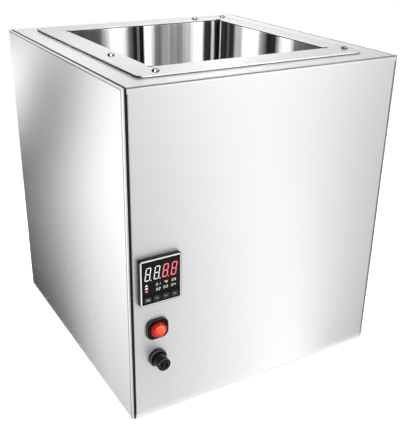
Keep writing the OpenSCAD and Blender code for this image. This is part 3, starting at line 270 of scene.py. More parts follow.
for name, first, last, front in (("card_right", 0.172, 2.2, -0.18), ("card_rear", -0.170, 0.171, 0.185)):
    shader, at = graded_card(name, lying(first, last, front, 3.0), 1.05)
    tone = ramp(from_to(at["Y"], -0.2, 1.0),
                [(0.0, 1.0), (0.16, 0.9), (0.33, 0.68), (0.6, 0.46), (1.0, 0.40)])
    feed(shader, {"Emission Color": tone})

# Folded sheets of the cabinet
# Satin stainless steel, brushed along the length of each sheet before it was folded,
# so that reflections smear across the grain. Rear screws and nuts hold the sheets.


def shader_group(name, inputs, outputs):
    """An empty shader node group with named sockets, given as name: (kind, value) and name: kind.

    Gives the group, the sockets that its inputs come in by, and the node that takes its outputs.
    """
    made = bpy.data.node_groups.new(name, "ShaderNodeTree")
    for label, (kind, value) in inputs.items():
        socket = made.interface.new_socket(label, in_out="INPUT", socket_type="NodeSocket" + kind)
        if value is not None:
            socket.default_value = value
    for label, kind in outputs.items():
        made.interface.new_socket(label, in_out="OUTPUT", socket_type="NodeSocket" + kind)
    return made, made.nodes.new("NodeGroupInput").outputs, made.nodes.new("NodeGroupOutput")


def noise(place, scale, detail, **more):
    """Clouds from 0 to 1 at these places, with so many clouds to the unit of length."""
    inputs = {"Vector": place, "Scale": scale, "Detail": detail, **more}
    return add(place.id_data, "TexNoise", inputs).outputs["Fac"]


grain, given, grain_out = shader_group(
    "brushed_grain",
    {"Vector": ("Vector", None), "Tone": ("Color", (0.8, 0.8, 0.8, 1)), "Contrast": ("Float", 0.06),
     "Smooth": ("Float", 0.22), "Dull": ("Float", 0.29)},
    {"Color": "Color", "Height": "Float", "Rough": "Float"})
lines = from_to(noise(given["Vector"], 1.0, 4.0, Roughness=0.65), 0.25, 0.75)
share = reckon("MULTIPLY_ADD", reckon("SUBTRACT", lines, 0.5), given["Contrast"], 1.0)
gap = reckon("SUBTRACT", given["Dull"], given["Smooth"])
feed(grain_out, {"Color": tinted(given["Tone"], share), "Height": lines,
                 "Rough": reckon("MULTIPLY_ADD", lines, gap, given["Smooth"])})


def mapped(place, scale, turn=(0, 0, 0), shift=(0, 0, 0)):
    """Places scaled along X, Y and Z, then turned by angles and shifted."""
    inputs = {"Vector": place, "Scale": scale, "Rotation": turn, "Location": shift}
    return add(place.id_data, "Mapping", inputs).outputs["Vector"]


def raised(height, strength, depth):
    """The normals of a skin raised by a height from 0 to 1, which stands for this depth in metres."""
    bump = add(height.id_data, "Bump", {"Height": height, "Strength": strength, "Distance": depth})
    return bump.outputs["Normal"]


def skinned(shader, group, inputs, bump, depth):
    """Let the marks of a group give a shader its colour, its roughness and a relief."""
    marks = add(shader.id_data, "Group", inputs, node_tree=group).outputs
    feed(shader, {"Base Color": marks["Color"], "Roughness": marks["Rough"],
                  "Normal": raised(marks["Height"], bump, depth)})


def brushed_round(shader, axis):
    """The direction round an axis at each point, along which the brush went."""
    return add(shader.id_data, "Tangent", direction_type="RADIAL", axis=axis).outputs["Tangent"]


def metal(name, tone, scale, contrast, smooth, dull, bump, stretch=None):
    """Bare metal with fine lines at this scale along X, Y and Z, and a roughness from smooth to dull.

    With a stretch axis, highlights smear round that axis.
    """
    made, shader = new_material(name)
    marks = {"Vector": mapped(places(shader), scale), "Tone": (*tone, 1), "Contrast": contrast,
             "Smooth": smooth, "Dull": dull}
    line_depth = 0.0002
    skinned(shader, grain, marks, bump, line_depth)
    feed(shader, {"Metallic": 1.0})
    if stretch:
        feed(shader, {"Tangent": brushed_round(shader, stretch), "Anisotropic": 0.92})
    return made, shader


bend, given, bend_out = shader_group(
    "fold_line", {"Narrow": ("Float", 0.80)}, {"Fold": "Float", "X": "Float", "Y": "Float", "Z": "Float"})
facing = axes(add(bend, "NewGeometry").outputs["Normal"])
steep_x, steep_y, steep_z = (reckon("ABSOLUTE", facing[axis]) for axis in "XYZ")
steepest = reckon("MAXIMUM", steep_x, reckon("MAXIMUM", steep_y, steep_z))
feed(bend_out, {"Fold": from_to(steepest, 0.94, given["Narrow"]),
                "X": facing["X"], "Y": facing["Y"], "Z": facing["Z"]})


def facing_of(shader):
    """How far each point lies in a fold, from 0 to 1, and the X, Y and Z of the way it faces."""
    return add(shader.id_data, "Group", node_tree=bend).outputs


def folded(name, scale, stretch, fold_shade, **finish):
    """Brushed sheet; gives its finish, its shader, the way its points face and a shade for its colour.

    The shade is 1 on the flats and falls to fold_shade in the bends.
    """
    made, shader = metal(name, (0.80, 0.80, 0.80), scale, stretch=stretch, **finish)
    facing = facing_of(shader)
    return made, shader, facing, reckon("MULTIPLY_ADD", facing["Fold"], fold_shade - 1.0, 1.0)


def now_in(shader, label):
    """The socket that feeds this input of the shader so far."""
    return shader.inputs[label].links[0].from_socket


def reach_of(one, other):
    """The root of the sum of two squares: how far a point lies from an axis."""
    return reckon("SQRT", reckon("ADD", times(one, one), times(other, other)))


cover_steel, shader, facing, shade = folded(
    "cover_steel", (7, 1500, 1500), "X", 0.2, contrast=0.03, bump=0.015, smooth=0.38, dull=0.46)
feed(shader, {"Metallic": 0.8, "Anisotropic": 0.4, "Specular Tint": (0.85, 0.85, 0.85, 1)})
# The cut edge beside the left panel is painted dark as shade in the gap, and painted shade darkens the bends.
# The top is smoother and has a spot weld at each front corner.
painted_gap_shade = from_to(facing["X"], -0.55, -0.8, 1.0, 0.03)
smoother_top = from_to(facing["Z"], 0.5, 0.9, 1.0, 0.70)
weld_x, weld_y, weld_radius = 0.1544, -0.1605, 0.0009
at = axes(places(shader))
from_weld = reach_of(reckon("SUBTRACT", reckon("ABSOLUTE", at["X"]), weld_x),
                     reckon("SUBTRACT", at["Y"], weld_y))
weld = from_to(from_weld, weld_radius, weld_radius + 0.0005, 0.75, 1.0)
feed(shader, {"Base Color": tinted(now_in(shader, "Base Color"), times(shade, painted_gap_shade, weld)),
              "Roughness": times(now_in(shader, "Roughness"), smoother_top)})
dress(cover_steel, "front_top_cover", "rear_panel", "base_pan")

side_steel, shader, facing, shade = folded(
    "side_steel", (1500, 7, 1500), "Y", 0.4, contrast=0.015, bump=0.005, smooth=0.22, dull=0.27)
# Painted shade draws a thin line along the front and the top of the panel, as in a pressed crease, and the
# hem outside it is kept bright, clear of the painted shade of the bends.
crease_in, crease_slope = 0.0022, 0.75
panel_low, panel_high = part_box("left_access_panel")
at = axes(places(shader))
from_front = reckon("MULTIPLY_ADD", at["Y"], crease_slope, -crease_slope * panel_low[1])
from_top = reckon("SUBTRACT", panel_high[2], at["Z"])
from_crease = reckon("SUBTRACT", reckon("MINIMUM", from_front, from_top), crease_in)
crease_shade = from_to(reckon("ABSOLUTE", from_crease), 0.0004, 0.0009, 0.3, 1.0)
hem = from_to(reckon("MAXIMUM", times(facing["Y"], -1.0), facing["Z"]), 0.02, 0.06)
shade = times(reckon("MAXIMUM", shade, hem), crease_shade)
feed(shader, {"Base Color": tinted(now_in(shader, "Base Color"), shade)})
dress(side_steel, "left_access_panel", "right_side_panel")

# Rubber strips
# Black sponge rubber behind the edges of the left side panel, cut from strip and stuck on,
# and a dark silicone frame under the flange of the tank. Cells mottle both and pit the sponge.


def patterned(shader, pattern, tones, rough, bump=None):
    """Let one pattern give tones by a ramp, a span of roughness and, if asked, a (strength, depth) relief."""
    feed(shader, {"Base Color": ramp(pattern, tones), "Roughness": from_to(pattern, *rough)})
    if bump:
        feed(shader, {"Normal": raised(pattern, *bump)})


def closed_cells(shader, scale):
    """How far each point lies from the middle of its cell, with so many cells to the metre."""
    return add(shader.id_data, "TexVoronoi", {"Vector": places(shader), "Scale": scale}).outputs["Distance"]


sponge, shader = new_material("sponge_rubber")
patterned(shader, closed_cells(shader, 2600.0), [(0.0, 0.006), (0.6, 0.014), (1.0, 0.022)],
          (0, 1, 0.75, 0.95), (0.5, 0.0002))
feed(shader, {"Specular IOR Level": 0.25})
dress(sponge, "access_seal")
silicone, shader = new_material("dark_silicone")
patterned(shader, closed_cells(shader, 1800.0), [(0.0, 0.04), (1.0, 0.08)], (0, 1, 0.5, 0.65))
dress(silicone, "tank_seal")

# Wax tank
# Polished stainless sheet, folded up with welded and ground corners and a flange turned
# outwards over a round rim. The walls' reflections of each other are painted into their
# colour as upright streaks.
tank_steel, shader = new_material("tank_steel")
place = places(shader)
at = axes(place)
facing = facing_of(shader)
turned_x, turned_z = reckon("ABSOLUTE", facing["X"]), reckon("ABSOLUTE", facing["Z"])

# Painted reflections: the streaks on the walls sway a little from side to side and are split by fine lines.
sway = times(reckon("SUBTRACT", noise(mapped(place, (26, 26, 2.5)), 1.0, 2.0), 0.5), 0.006)
painted_reflections_x = ramp(from_to(reckon("ADD", at["X"], sway), -0.109, 0.115), [
    (0.0, 0.06), (0.16, 0.08), (0.19, 0.13), (0.22, 0.36), (0.26, 0.9), (0.33, 0.9), (0.37, 0.16),
    (0.40, 0.012), (0.418, 0.012), (0.426, 0.12), (0.434, 0.12), (0.442, 0.008), (0.466, 0.008),
    (0.476, 0.9), (0.515, 0.9), (0.55, 0.18), (0.58, 0.09), (0.605, 0.22), (0.73, 0.20), (0.79, 0.36),
    (0.85, 0.9), (0.88, 0.9), (0.905, 0.03), (0.945, 0.015), (0.955, 0.6), (0.966, 0.6), (0.975, 0.015),
    (1.0, 0.015)])
painted_reflections_y = ramp(from_to(reckon("ADD", at["Y"], sway), 0.1175, -0.1155), [
    (0.0, 0.01), (0.02, 0.015), (0.028, 0.7), (0.038, 0.015), (0.10, 0.015), (0.12, 0.08), (0.14, 0.012),
    (0.175, 0.02), (0.20, 0.26), (0.26, 0.34), (0.29, 0.9), (0.415, 0.9), (0.45, 0.28), (0.49, 0.12),
    (0.52, 0.01), (0.59, 0.015), (0.62, 0.30), (0.65, 0.8), (0.72, 0.9), (0.745, 0.4), (0.76, 0.12),
    (1.0, 0.05)])
painted_reflections = mixed(painted_reflections_x, painted_reflections_y, reckon("GREATER_THAN", turned_x, 0.7))
hair = noise(mapped(place, (330, 330, 4)), 1.0, 3.0)
painted_reflections = tinted(painted_reflections, from_to(hair, 0.3, 0.7, 0.8, 1.2))

# The flange is brushed along X, and its cut edge, above the seal, is dull, with painted shade making it dark
# where it faces the sides.
flange_marks = {"Vector": mapped(place, (7, 1500, 1500)), "Tone": (0.86, 0.86, 0.86, 1)}
flange_lines = add(shader.id_data, "Group", flange_marks, node_tree=grain).outputs["Color"]
upward = reckon("GREATER_THAN", turned_z, 0.75)
edge_on = times(from_to(at["Z"], 0.3805, 0.3808), from_to(turned_z, 0.3, 0.2))
edge_side_shade = from_to(turned_x, 0.2, 0.9, 0.85, 0.03)
tone = mixed(painted_reflections, flange_lines, reckon("MAXIMUM", upward, edge_on))

# Painted shade in the relief holes at the four corners of the rim, down to where the walls begin.
hole_x, hole_y, hole_radius = 0.1127, 0.1172, 0.0033
middle_x, middle_y = 0.003, 0.001
from_hole = reach_of(
    reckon("SUBTRACT", reckon("ABSOLUTE", reckon("SUBTRACT", at["X"], middle_x)), hole_x),
    reckon("SUBTRACT", reckon("ABSOLUTE", reckon("SUBTRACT", at["Y"], middle_y)), hole_y))
hole_shade = from_to(from_hole, hole_radius, hole_radius + 0.0004, 0.02, 1.0)
hole_shade = reckon("MAXIMUM", hole_shade, from_to(at["Z"], 0.3775, 0.3765))

# Painted shade darkens the relief holes, the round rim bend and the edges that face the sides.
shade = times(hole_shade, reckon("MULTIPLY_ADD", facing["Fold"], -0.85, 1.0),
              reckon("MULTIPLY_ADD", edge_on, reckon("SUBTRACT", edge_side_shade, 1.0), 1.0))
rough = reckon("MULTIPLY_ADD", edge_on, 0.5, reckon("MULTIPLY_ADD", upward, 0.05, 0.12))
bare = reckon("MULTIPLY_ADD", edge_on, -0.35, reckon("MULTIPLY_ADD", upward, 0.35, 0.45))
feed(shader, {"Base Color": tinted(tone, shade), "Roughness": rough, "Metallic": times(bare, hole_shade),
              "Tangent": brushed_round(shader, "X"), "Anisotropic": 0.8, "Specular IOR Level": 0.05,
              "Specular Tint": (0.62, 0.62, 0.62, 1)})
dress(tank_steel, "wax_tank")

# Button screws of the tank
# Five bright steel screws through the flange, cold headed to a dome with a hexagon socket.
# Painted shade darkens the socket and a ring round the rim, and painted dark reflections lie on two sides of
# the dome.


def skin_over(name, grid, made, body, instead_of=(), local=None):
    """Closed skins from a grid of points (skins, rows, columns, xyz) in mm.

    Each cell is one quad and the columns join up, points that meet are merged, and the faces are turned
    so that the volume inside counts as positive. A local grid of the same shape is kept on the points
    for the finish to read.
    """
    points = np.asarray(grid, float) / 1000
    points = points[None] if points.ndim == 3 else points
    number = np.arange(points[..., 0].size).reshape(points.shape[:3])
    onward = np.roll(number, -1, axis=2)
    cells = np.stack([number[:, :-1], number[:, 1:], onward[:, 1:], onward[:, :-1]], -1).reshape(-1, 4)
    mesh = bpy.data.meshes.new(name)
    mesh.from_pydata(points.reshape(-1, 3).tolist(), [], cells.tolist())
    if local is not None:
        kept = mesh.attributes.new("local", "FLOAT_VECTOR", "POINT")
        kept.data.foreach_set("vector", np.ascontiguousarray(local, np.float32).ravel())
    work = bmesh.new()
    work.from_mesh(mesh)
    bmesh.ops.remove_doubles(work, verts=work.verts, dist=1e-7)
    if work.calc_volume(signed=True) < 0:
        bmesh.ops.reverse_faces(work, faces=work.faces)
    work.to_mesh(mesh)
    work.free()
    mesh.polygons.foreach_set("use_smooth", np.ones(len(mesh.polygons), bool))
    sharp_degrees = 40
    mesh.set_sharp_from_angle(angle=np.radians(sharp_degrees))
    piece = bpy.data.objects.new(name, mesh)
    scene.collection.objects.link(piece)
    dress(made, piece)
    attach(piece, body)
    if instead_of:
        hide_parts(*instead_of)


# Each screw is turned about Z. Its radii and heights run from the tip up the shank, over the dome and
# down into the socket.
screw_places = np.array([(-123.5, -48), (-115.5, -137.5), (133.5, -129.5), (133.5, 136.5), (87, 136.5)])
dome_radius, dome_high, dome_angle, dome_foot = 4, 2.1, 1.1, 382.6
turn = np.linspace(0, 2 * np.pi, 48, endpoint=False)
rise = np.linspace(0, dome_angle, 9)
hexagon = 1.44 * np.cos(np.pi / 6) / np.cos(turn % (np.pi / 3) - np.pi / 6)
round_rows = np.concatenate([[0, 1.7, 2.0, 2.0, 3.8], dome_radius * np.cos(rise)])[:, None] + 0 * turn
radii = np.concatenate([round_rows, [hexagon + 0.15, hexagon, 0 * turn]])
heights = np.concatenate([[374.1, 374.1, 374.5, 382.5, 382.5],
                          dome_foot + dome_high * np.sin(rise) / np.sin(dome_angle), [384.8, 383.6, 383.6]])
screw = np.stack([radii * np.cos(turn), radii * np.sin(turn),
                  np.broadcast_to(heights[:, None], radii.shape)], -1)
screws = screw + np.concatenate([screw_places, np.zeros((5, 1))], 1)[:, None, None]

screw_steel, shader = metal("screw_steel", (0.85, 0.85, 0.86), (900, 900, 900),
                            contrast=0.1, smooth=0.12, dull=0.2, bump=0.04)
local = add(shader.id_data, "Attribute", attribute_name="local").outputs["Vector"]
spot = axes(mapped(local, (1 / dome_radius, 1 / dome_radius, 0)))
reach = reach_of(spot["X"], spot["Y"])
painted_shade_and_reflection = times(from_to(reckon("ABSOLUTE", spot["X"]), 0.5, 0.66, 1.0, 0.04),
              from_to(reach, 0.36, 0.42, 0.02, 1.0), from_to(reach, 0.88, 0.97, 1.0, 0.05))
feed(shader, {"Base Color": tinted(now_in(shader, "Base Color"), painted_shade_and_reflection),
              "Specular Tint": (0.25, 0.25, 0.25, 1)})
skin_over("tank_screw_set", screws, screw_steel, "cabinet", ["tank_screws"],
          local=np.broadcast_to(screw, screws.shape))

# Pan screws and nuts
# Zinc-plated steel, cold headed with a cross drive. The screws hold the rear panel, the mains
# inlet and the relay plate, which is tapped. Nuts take the others and those of the tank.
plated_steel = metal("plated_steel", (0.74, 0.75, 0.76), (900, 900, 900),
                     contrast=0.14, smooth=0.16, dull=0.3, bump=0.08)[0]
dress(plated_steel, "tank_nuts", "rear_screws", "rear_nuts", "relay_plate_screws", "inlet_screws",
      "inlet_nuts")

# Heater mats
# Orange silicone rubber pressed on glass cloth with a wire inside, glued to the four walls
# of the tank and under its floor. The weave shows through the skin.
mat_rubber, shader = new_material("mat_rubber")
threads = {"Vector": places(shader), "Scale": 400.0, "Distortion": 0.4}
weft, warp = (
    add(shader.id_data, "TexWave", threads, wave_type="BANDS", bands_direction=way).outputs["Fac"]
    for way in ("Z", "DIAGONAL"))
patterned(shader, times(weft, warp), [(0.0, (0.42, 0.12, 0.03)), (1.0, (0.66, 0.24, 0.07))],
          (0, 1, 0.8, 0.6), (0.35, 0.0004))
dress(mat_rubber, "wall_heaters", "floor_heater")

# Insulation
# Slabs of pale mineral fibre board, cut with a knife, stood round the tank and laid under it.
# Fibres lie in layers, with darker binder between them.
fibre_board, shader = new_material("fibre_board")
fibres = noise(mapped(places(shader), (600, 180, 900)), 1.0, 6.0, Roughness=0.7)
patterned(shader, fibres, [(0.3, (0.42, 0.36, 0.20)), (0.55, (0.74, 0.68, 0.47)), (0.8, (0.86, 0.82, 0.66))],
          (0.3, 0.7, 0.98, 0.85), (0.8, 0.001))
dress(fibre_board, "wall_insulation", "floor_insulation")

# Shield, tray and relay plate
# Bent and cut aluminium sheet with the faint lines of the rolling mill. The shield keeps
# the heat from the wiring, the tray carries the tank, the plate cools the relay.
mill_aluminium = metal("mill_aluminium", (0.68, 0.70, 0.72), (900, 900, 12),
                       contrast=0.16, smooth=0.3, dull=0.45, bump=0.1)[0]
dress(mill_aluminium, "heat_shield", "tank_tray", "relay_plate")

# Temperature probe and limit thermostat
# A drawn steel sheath under a saddle clip, and a snap disc in a brown moulded cup, both
# pressed against the left wall of the tank.
drawn_steel = metal("drawn_steel", (0.62, 0.62, 0.63), (1200, 1200, 20),
                    contrast=0.12, smooth=0.2, dull=0.34, bump=0.06)[0]
dress(drawn_steel, "temperature_probe", "probe_clip")

moulding, given, moulding_out = shader_group(
    "moulded_skin",
    {"Vector": ("Vector", None), "Tone": ("Color", (0.02, 0.02, 0.02, 1)), "Pitch": ("Float", 2500.0),
     "Smooth": ("Float", 0.2), "Dull": ("Float", 0.3)},
    {"Color": "Color", "Height": "Float", "Rough": "Float"})
flow = noise(given["Vector"], 70.0, 3.0)
gap = reckon("SUBTRACT", given["Dull"], given["Smooth"])
feed(moulding_out, {"Color": tinted(given["Tone"], from_to(flow, 0.3, 0.7, 0.86, 1.14)),
                    "Height": noise(given["Vector"], given["Pitch"], 2.0),
                    "Rough": reckon("MULTIPLY_ADD", flow, gap, given["Smooth"])})


def moulded(name, tone, smooth, dull, pitch=2500.0, bump=0.06, gloss=0.5):
    """Moulded plastic: a skin with so many pebbles to the metre, clouded by the flow of the melt.

    Its roughness lies between smooth and dull, and gloss sets how strongly it mirrors.
    """
    made, shader = new_material(name)
    marks = {"Vector": places(shader), "Tone": (*tone, 1), "Pitch": pitch, "Smooth": smooth, "Dull": dull}
    pebble_depth = 0.0001
    skinned(shader, moulding, marks, bump, pebble_depth)
    feed(shader, {"Specular IOR Level": gloss})
    return made, shader


thermostat_cup = moulded("thermostat_cup", (0.11, 0.045, 0.02), 0.3, 0.5)[0]
dress(thermostat_cup, "limit_thermostat")

# Controller case
# A black moulded case pushed in through the front sheet and held by a clamp behind it.
# The bezel has a raised silver-painted lip round a glossy black face with a smoked window.
case_black = moulded("case_black", (0.010, 0.010, 0.011), 0.22, 0.34, gloss=0.3)[0]
dress(case_black, "controller_housing", "controller_clamp")
bezel_black = moulded("bezel_black", (0.005, 0.005, 0.006), 0.16, 0.26, bump=0.02, gloss=0.1)[0]
dress(bezel_black, "controller_bezel")
smoked = moulded("smoked_window", (0.005, 0.005, 0.006), 0.08, 0.16, bump=0.01, gloss=0.16)[0]
dress(smoked, "controller_window")


def round_cornered(wide, high, corner, steps=8):
    """Outline of a rectangle as xz points: a quarter circle of the corner radius in each of its corners."""
    turn = np.linspace(0, np.pi / 2, steps) + np.arange(4)[:, None] * np.pi / 2
    side_x = np.array([1, -1, -1, 1])[:, None]
    side_z = np.array([1, 1, -1, -1])[:, None]
    x = side_x * (wide / 2 - corner) + corner * np.cos(turn)
    z = side_z * (high / 2 - corner) + corner * np.sin(turn)
    return np.stack([x, z], -1).reshape(-1, 2)


def stood_up(outlines, y, x=0, z=0):
    """Outlines (rows, points, xz) moved to a middle at x and z, with one y for each row."""
    depth = np.broadcast_to(np.asarray(y, float)[:, None], outlines.shape[:-1])
    return np.stack([x + outlines[..., 0], depth, z + outlines[..., 1]], -1)


# Painted shade makes the right and lower sides of the lip a little darker, and their outer edges almost
# black.
silver_paint, shader = new_material("silver_paint")
place = places(shader)
at = axes(place)
low_side = reckon("MAXIMUM", from_to(at["X"], -0.1140, -0.1134), from_to(at["Z"], 0.1519, 0.1513))
painted_edge_light_and_shade = reckon("MAXIMUM", from_to(at["X"], -0.11225, -0.11205), from_to(at["Z"], 0.15015, 0.14995))
painted_lip_shade = times(from_to(low_side, 0, 1, 1.0, 0.95), from_to(painted_edge_light_and_shade, 0, 1, 1.0, 0.03))
patterned(shader, noise(place, 4000.0, 1.0), [(0.3, 0.70), (0.7, 0.92)], (0.3, 0.7, 0.45, 0.3))
feed(shader, {"Base Color": tinted(now_in(shader, "Base Color"), painted_lip_shade)})
# The lip is one outline, drawn in by so much at each y, over its crown and back to where it began.
lip_x, lip_z, lip_wide, lip_high, lip_corner = -135.4, 175.9, 47.8, 52.9, 2.2
drawn_in = [0, 0, 0.2, 0.7, 1.2, 1.4, 1.4, 0]
lip_y = [-183.8, -184.45, -184.72, -184.8, -184.72, -184.45, -183.9, -183.8]
lip = np.stack([
    round_cornered(lip_wide - 2 * way, lip_high - 2 * way, lip_corner - way) for way in drawn_in])
skin_over("bezel_lip", stood_up(lip, lip_y, lip_x, lip_z), silver_paint, "cabinet")

# Lit figures and marks of the display
# Light that shows in the smoked window: two white and two red figures with points, and marks in
# white, red and amber. Small printed numbers are given a painted glow. Each is a thin plate on the window.


def thin_plates(outlines, back, front):
    """Flat plates from outlines (plates, corners, xz), between a y at the back and one at the front.

    Rows run from the middle at the back to the outline there, to the outline in front and its middle.
    """
    outlines = np.asarray(outlines, float)
    middle = np.broadcast_to(outlines.mean(axis=1, keepdims=True), outlines.shape)
    return stood_up(np.stack([middle, outlines, outlines, middle], 1), [back, back, front, front])


def bars_of(wide, high, stroke, lean, lit, apart=0.22):
    """The lit bars of one figure about its middle: six-cornered bars on a frame wide by high.

    Bars stop short of the corners of the frame by the gap called apart, and the whole is sheared sideways
    by lean times the height.
    """
    corners = np.array([(-1, 0), (-1, 1), (1, 1), (1, 0), (1, -1), (-1, -1)], float)
    taper = np.array([0, 1, 1, 0, 1, 1], float)
    upright = np.array([0, 1, 1, 0, 1, 1, 0], bool)[:, None]
    middles = np.array([(0, 0.5), (0.5, 0.25), (0.5, -0.25), (0, -0.5), (-0.5, -0.25), (-0.5, 0.25), (0, 0)])
    middles = middles * (wide, high)
    half = np.where(upright, high / 2, wide) / 2 - apart
    length = corners[:, 0] * (half - taper * stroke / 2)
    breadth = np.broadcast_to(corners[:, 1] * stroke / 2, length.shape)
    x = np.where(upright, breadth, length) + middles[:, :1]
    z = np.where(upright, length, breadth) + middles[:, 1:]
    return np.stack([x + lean * z, z], -1)[list(lit)]


def lamp_glow(name, core, rim, strength):
    """A lit plate, a little uneven as a diffuser makes it: its light runs from a rim to a core colour."""
    made, shader = new_material(name)
    light = ramp(noise(places(shader), 900.0, 1.0), [(0.3, rim), (0.65, core)])
    feed(shader, {"Emission Color": light, "Emission Strength": strength, "Base Color": tinted(light, 0.3),
                  "Roughness": 0.3, "Specular IOR Level": 0.2})
    return made


white_light = lamp_glow("white_light", (1.0, 1.0, 1.0), (0.80, 0.84, 0.86), 0.9)
red_light = lamp_glow("red_light", (1.0, 0.30, 0.32), (0.95, 0.13, 0.16), 0.95)
red_haze = lamp_glow("red_haze", (0.22, 0.012, 0.018), (0.12, 0.006, 0.010), 0.8)
white_print_glow = lamp_glow("white_print_glow", (0.85, 0.86, 0.87), (0.65, 0.66, 0.67), 0.7)
amber_light = lamp_glow("amber_light", (1.0, 0.62, 0.12), (0.85, 0.42, 0.05), 0.9)

face_left, face_foot, glass_y = -159.7, 149.05, -184.0


def set_out(shapes, up, *places_across):
    """The same shapes so far up the face and at one or more places across it, from its lower left corner."""
    corners = [(face_left + across, face_foot + up) for across in places_across]
    return np.concatenate([np.asarray(shapes) + corner for corner in corners])


def light_up(name, outlines, light, thick=0.06):
    """Thin plates of these outlines on the window, all of one light."""
    skin_over(name, thin_plates(outlines, glass_y, glass_y - thick), light, "cabinet")


eight = range(7)
figure_up, figure_high, figure_wide, stroke, lean = 37.3, 14.2, 5.2, 1.08, 0.15
white_across, red_across = (9.2, 19.6), (29.6, 39.6)
white_figure = bars_of(figure_wide, figure_high, 0.86 * stroke, lean, eight)
red_figure = bars_of(figure_wide, figure_high, stroke, lean, eight)
haze_figure = bars_of(figure_wide, figure_high, stroke + 1.0, lean, eight, -0.4)
point_up = 29.8
point = 0.62 * np.array([[(-1, 0), (-0.7, 0.7), (0, 1), (1, 0.7), (1, -0.7), (0, -1)]], float)
white_bars = [set_out(white_figure, figure_up, *white_across), set_out(point, point_up, 12.5, 22.8)]
red_bars = [set_out(red_figure, figure_up, *red_across), set_out(point, point_up, 33.0)]
light_up("white_figures", np.concatenate(white_bars), white_light)
light_up("red_figures", np.concatenate(red_bars), red_light)
light_up("red_glow", set_out(haze_figure, figure_up, *red_across), red_haze, 0.02)

mark_across = 7.3
arrow_mark = np.array([[(-1.8, -1.15), (1.8, -1.15), (0.2, 1.3), (-0.2, 1.3)]])
square_mark = np.array([[(-1.6, -0.9), (1.6, -0.9), (1.6, 0.9), (-1.6, 0.9)]])
slant_mark = np.array([[(-2.3, 1.3), (-1.2, 0.1), (1.2, -1.5), (2.3, 1.3)]])
white_marks = [set_out(arrow_mark, 24.6, mark_across), set_out(square_mark, 21.0, mark_across)]
light_up("white_marks", np.concatenate(white_marks), white_light)
light_up("red_mark", set_out(arrow_mark * (1, -1), 17.3, mark_across), red_light)
light_up("amber_mark", set_out(slant_mark, 23.6, 29.9), amber_light)

number_bars = {"0": (0, 1, 2, 3, 4, 5), "1": (1, 2), "2": (0, 1, 3, 4, 6), "3": (0, 1, 2, 3, 6),
               "4": (1, 2, 5, 6), "5": (0, 2, 3, 5, 6)}
printed = [("01", 20.9, 23.3), ("02", 20.9, 17.4), ("03", 29.6, 17.8), ("04", 39.0, 17.9),
           ("05", 39.4, 24.0)]
digit_step = 2.9
print_bars = np.concatenate([
    set_out(bars_of(1.7, 2.5, 0.62, lean, number_bars[digit], 0.02), up, across + digit_step * (place - 0.5))
    for text, across, up in printed for place, digit in enumerate(text)])
light_up("printed_numbers", print_bars, white_print_glow, 0.04)

# Keys of the controller
# Four dark grey moulded caps with hollowed tops, each on a rim behind the face that keeps
# it in. Printed on them are a bar sign and arrowheads that point up and down, and the print is given a
# painted glow.
key_grey = moulded("key_grey", (0.018, 0.018, 0.019), 0.26, 0.4, gloss=0.3)[0]
key_print_glow = lamp_glow("key_print_glow", (0.75, 0.76, 0.77), (0.60, 0.61, 0.62), 0.42)


def key_cap(x, z):
    """Rows of outlines from the back to the front: a rim, a shank, a rounded edge and a hollow top.

    The edge follows a quarter circle, and the top sinks as the square of the way in. The first row of
    the edge is set back to the rim, as the foot of the shank.
    """
    rim, cap = round_cornered(9.8, 8.4, 0.9), round_cornered(8.2, 6.8, 0.9)
    rim_back, rim_front, edge_y, edge_radius, hollow = -181.3, -182.1, -184.45, 0.35, 0.22
    cap_half = 4
    ease = np.linspace(0, np.pi / 2, 6)
    way = np.linspace(0, 1, 8)[1:]
    outlines = np.stack([rim] * 3 + [cap] * (len(ease) + len(way)))
    shrink = np.concatenate([[0, 1, 1], 1 + 0 * ease, 1 - way])
    pulled = np.concatenate([[0, 0, 0], edge_radius * (1 - np.cos(ease)), edge_radius + 0 * way])
    outlines = outlines * shrink[:, None, None] * (1 - pulled[:, None, None] / cap_half)
    y = np.concatenate([[rim_back, rim_back, rim_front], edge_y - edge_radius * np.sin(ease),
                        edge_y - edge_radius + hollow * (1 - (1 - way) ** 2)])
    y[3] = rim_front
    return stood_up(outlines, y, x, z)


def strokes(ends, broad):
    """Four-cornered strokes between pairs of points, each widened by half its breadth to either side."""
    ends = np.asarray(ends, float)
    along = ends[:, 1] - ends[:, 0]
    across = np.stack([-along[:, 1], along[:, 0]], -1) / np.linalg.norm(along, axis=1)[:, None] * broad / 2
    return np.stack([ends[:, 0] - across, ends[:, 1] - across, ends[:, 1] + across, ends[:, 0] + across], 1)


first_key_x, key_step, key_z = -151.15, 10.5, 156.25
arrowhead = np.array([[(-1.7, -0.7), (0.1, 0.8)], [(-0.1, 0.8), (1.7, -0.7)]])
three_bars = np.array([[(-2.4, high), (2.4, high)] for high in (0.8, 0, -0.8)])
signs = {"key_mode": three_bars, "key_shift": arrowhead, "key_down": arrowhead * (1, -1),
         "key_up": arrowhead}
for number, (name, sign) in enumerate(signs.items()):
    key_x = first_key_x + key_step * number
    sign_plates = thin_plates(strokes(sign, 0.42) + (key_x, key_z), -184.5, -184.74)
    skin_over(name + "_cap", key_cap(key_x, key_z), key_grey, name, [name])
    skin_over(name + "_sign", sign_plates, key_print_glow, name)

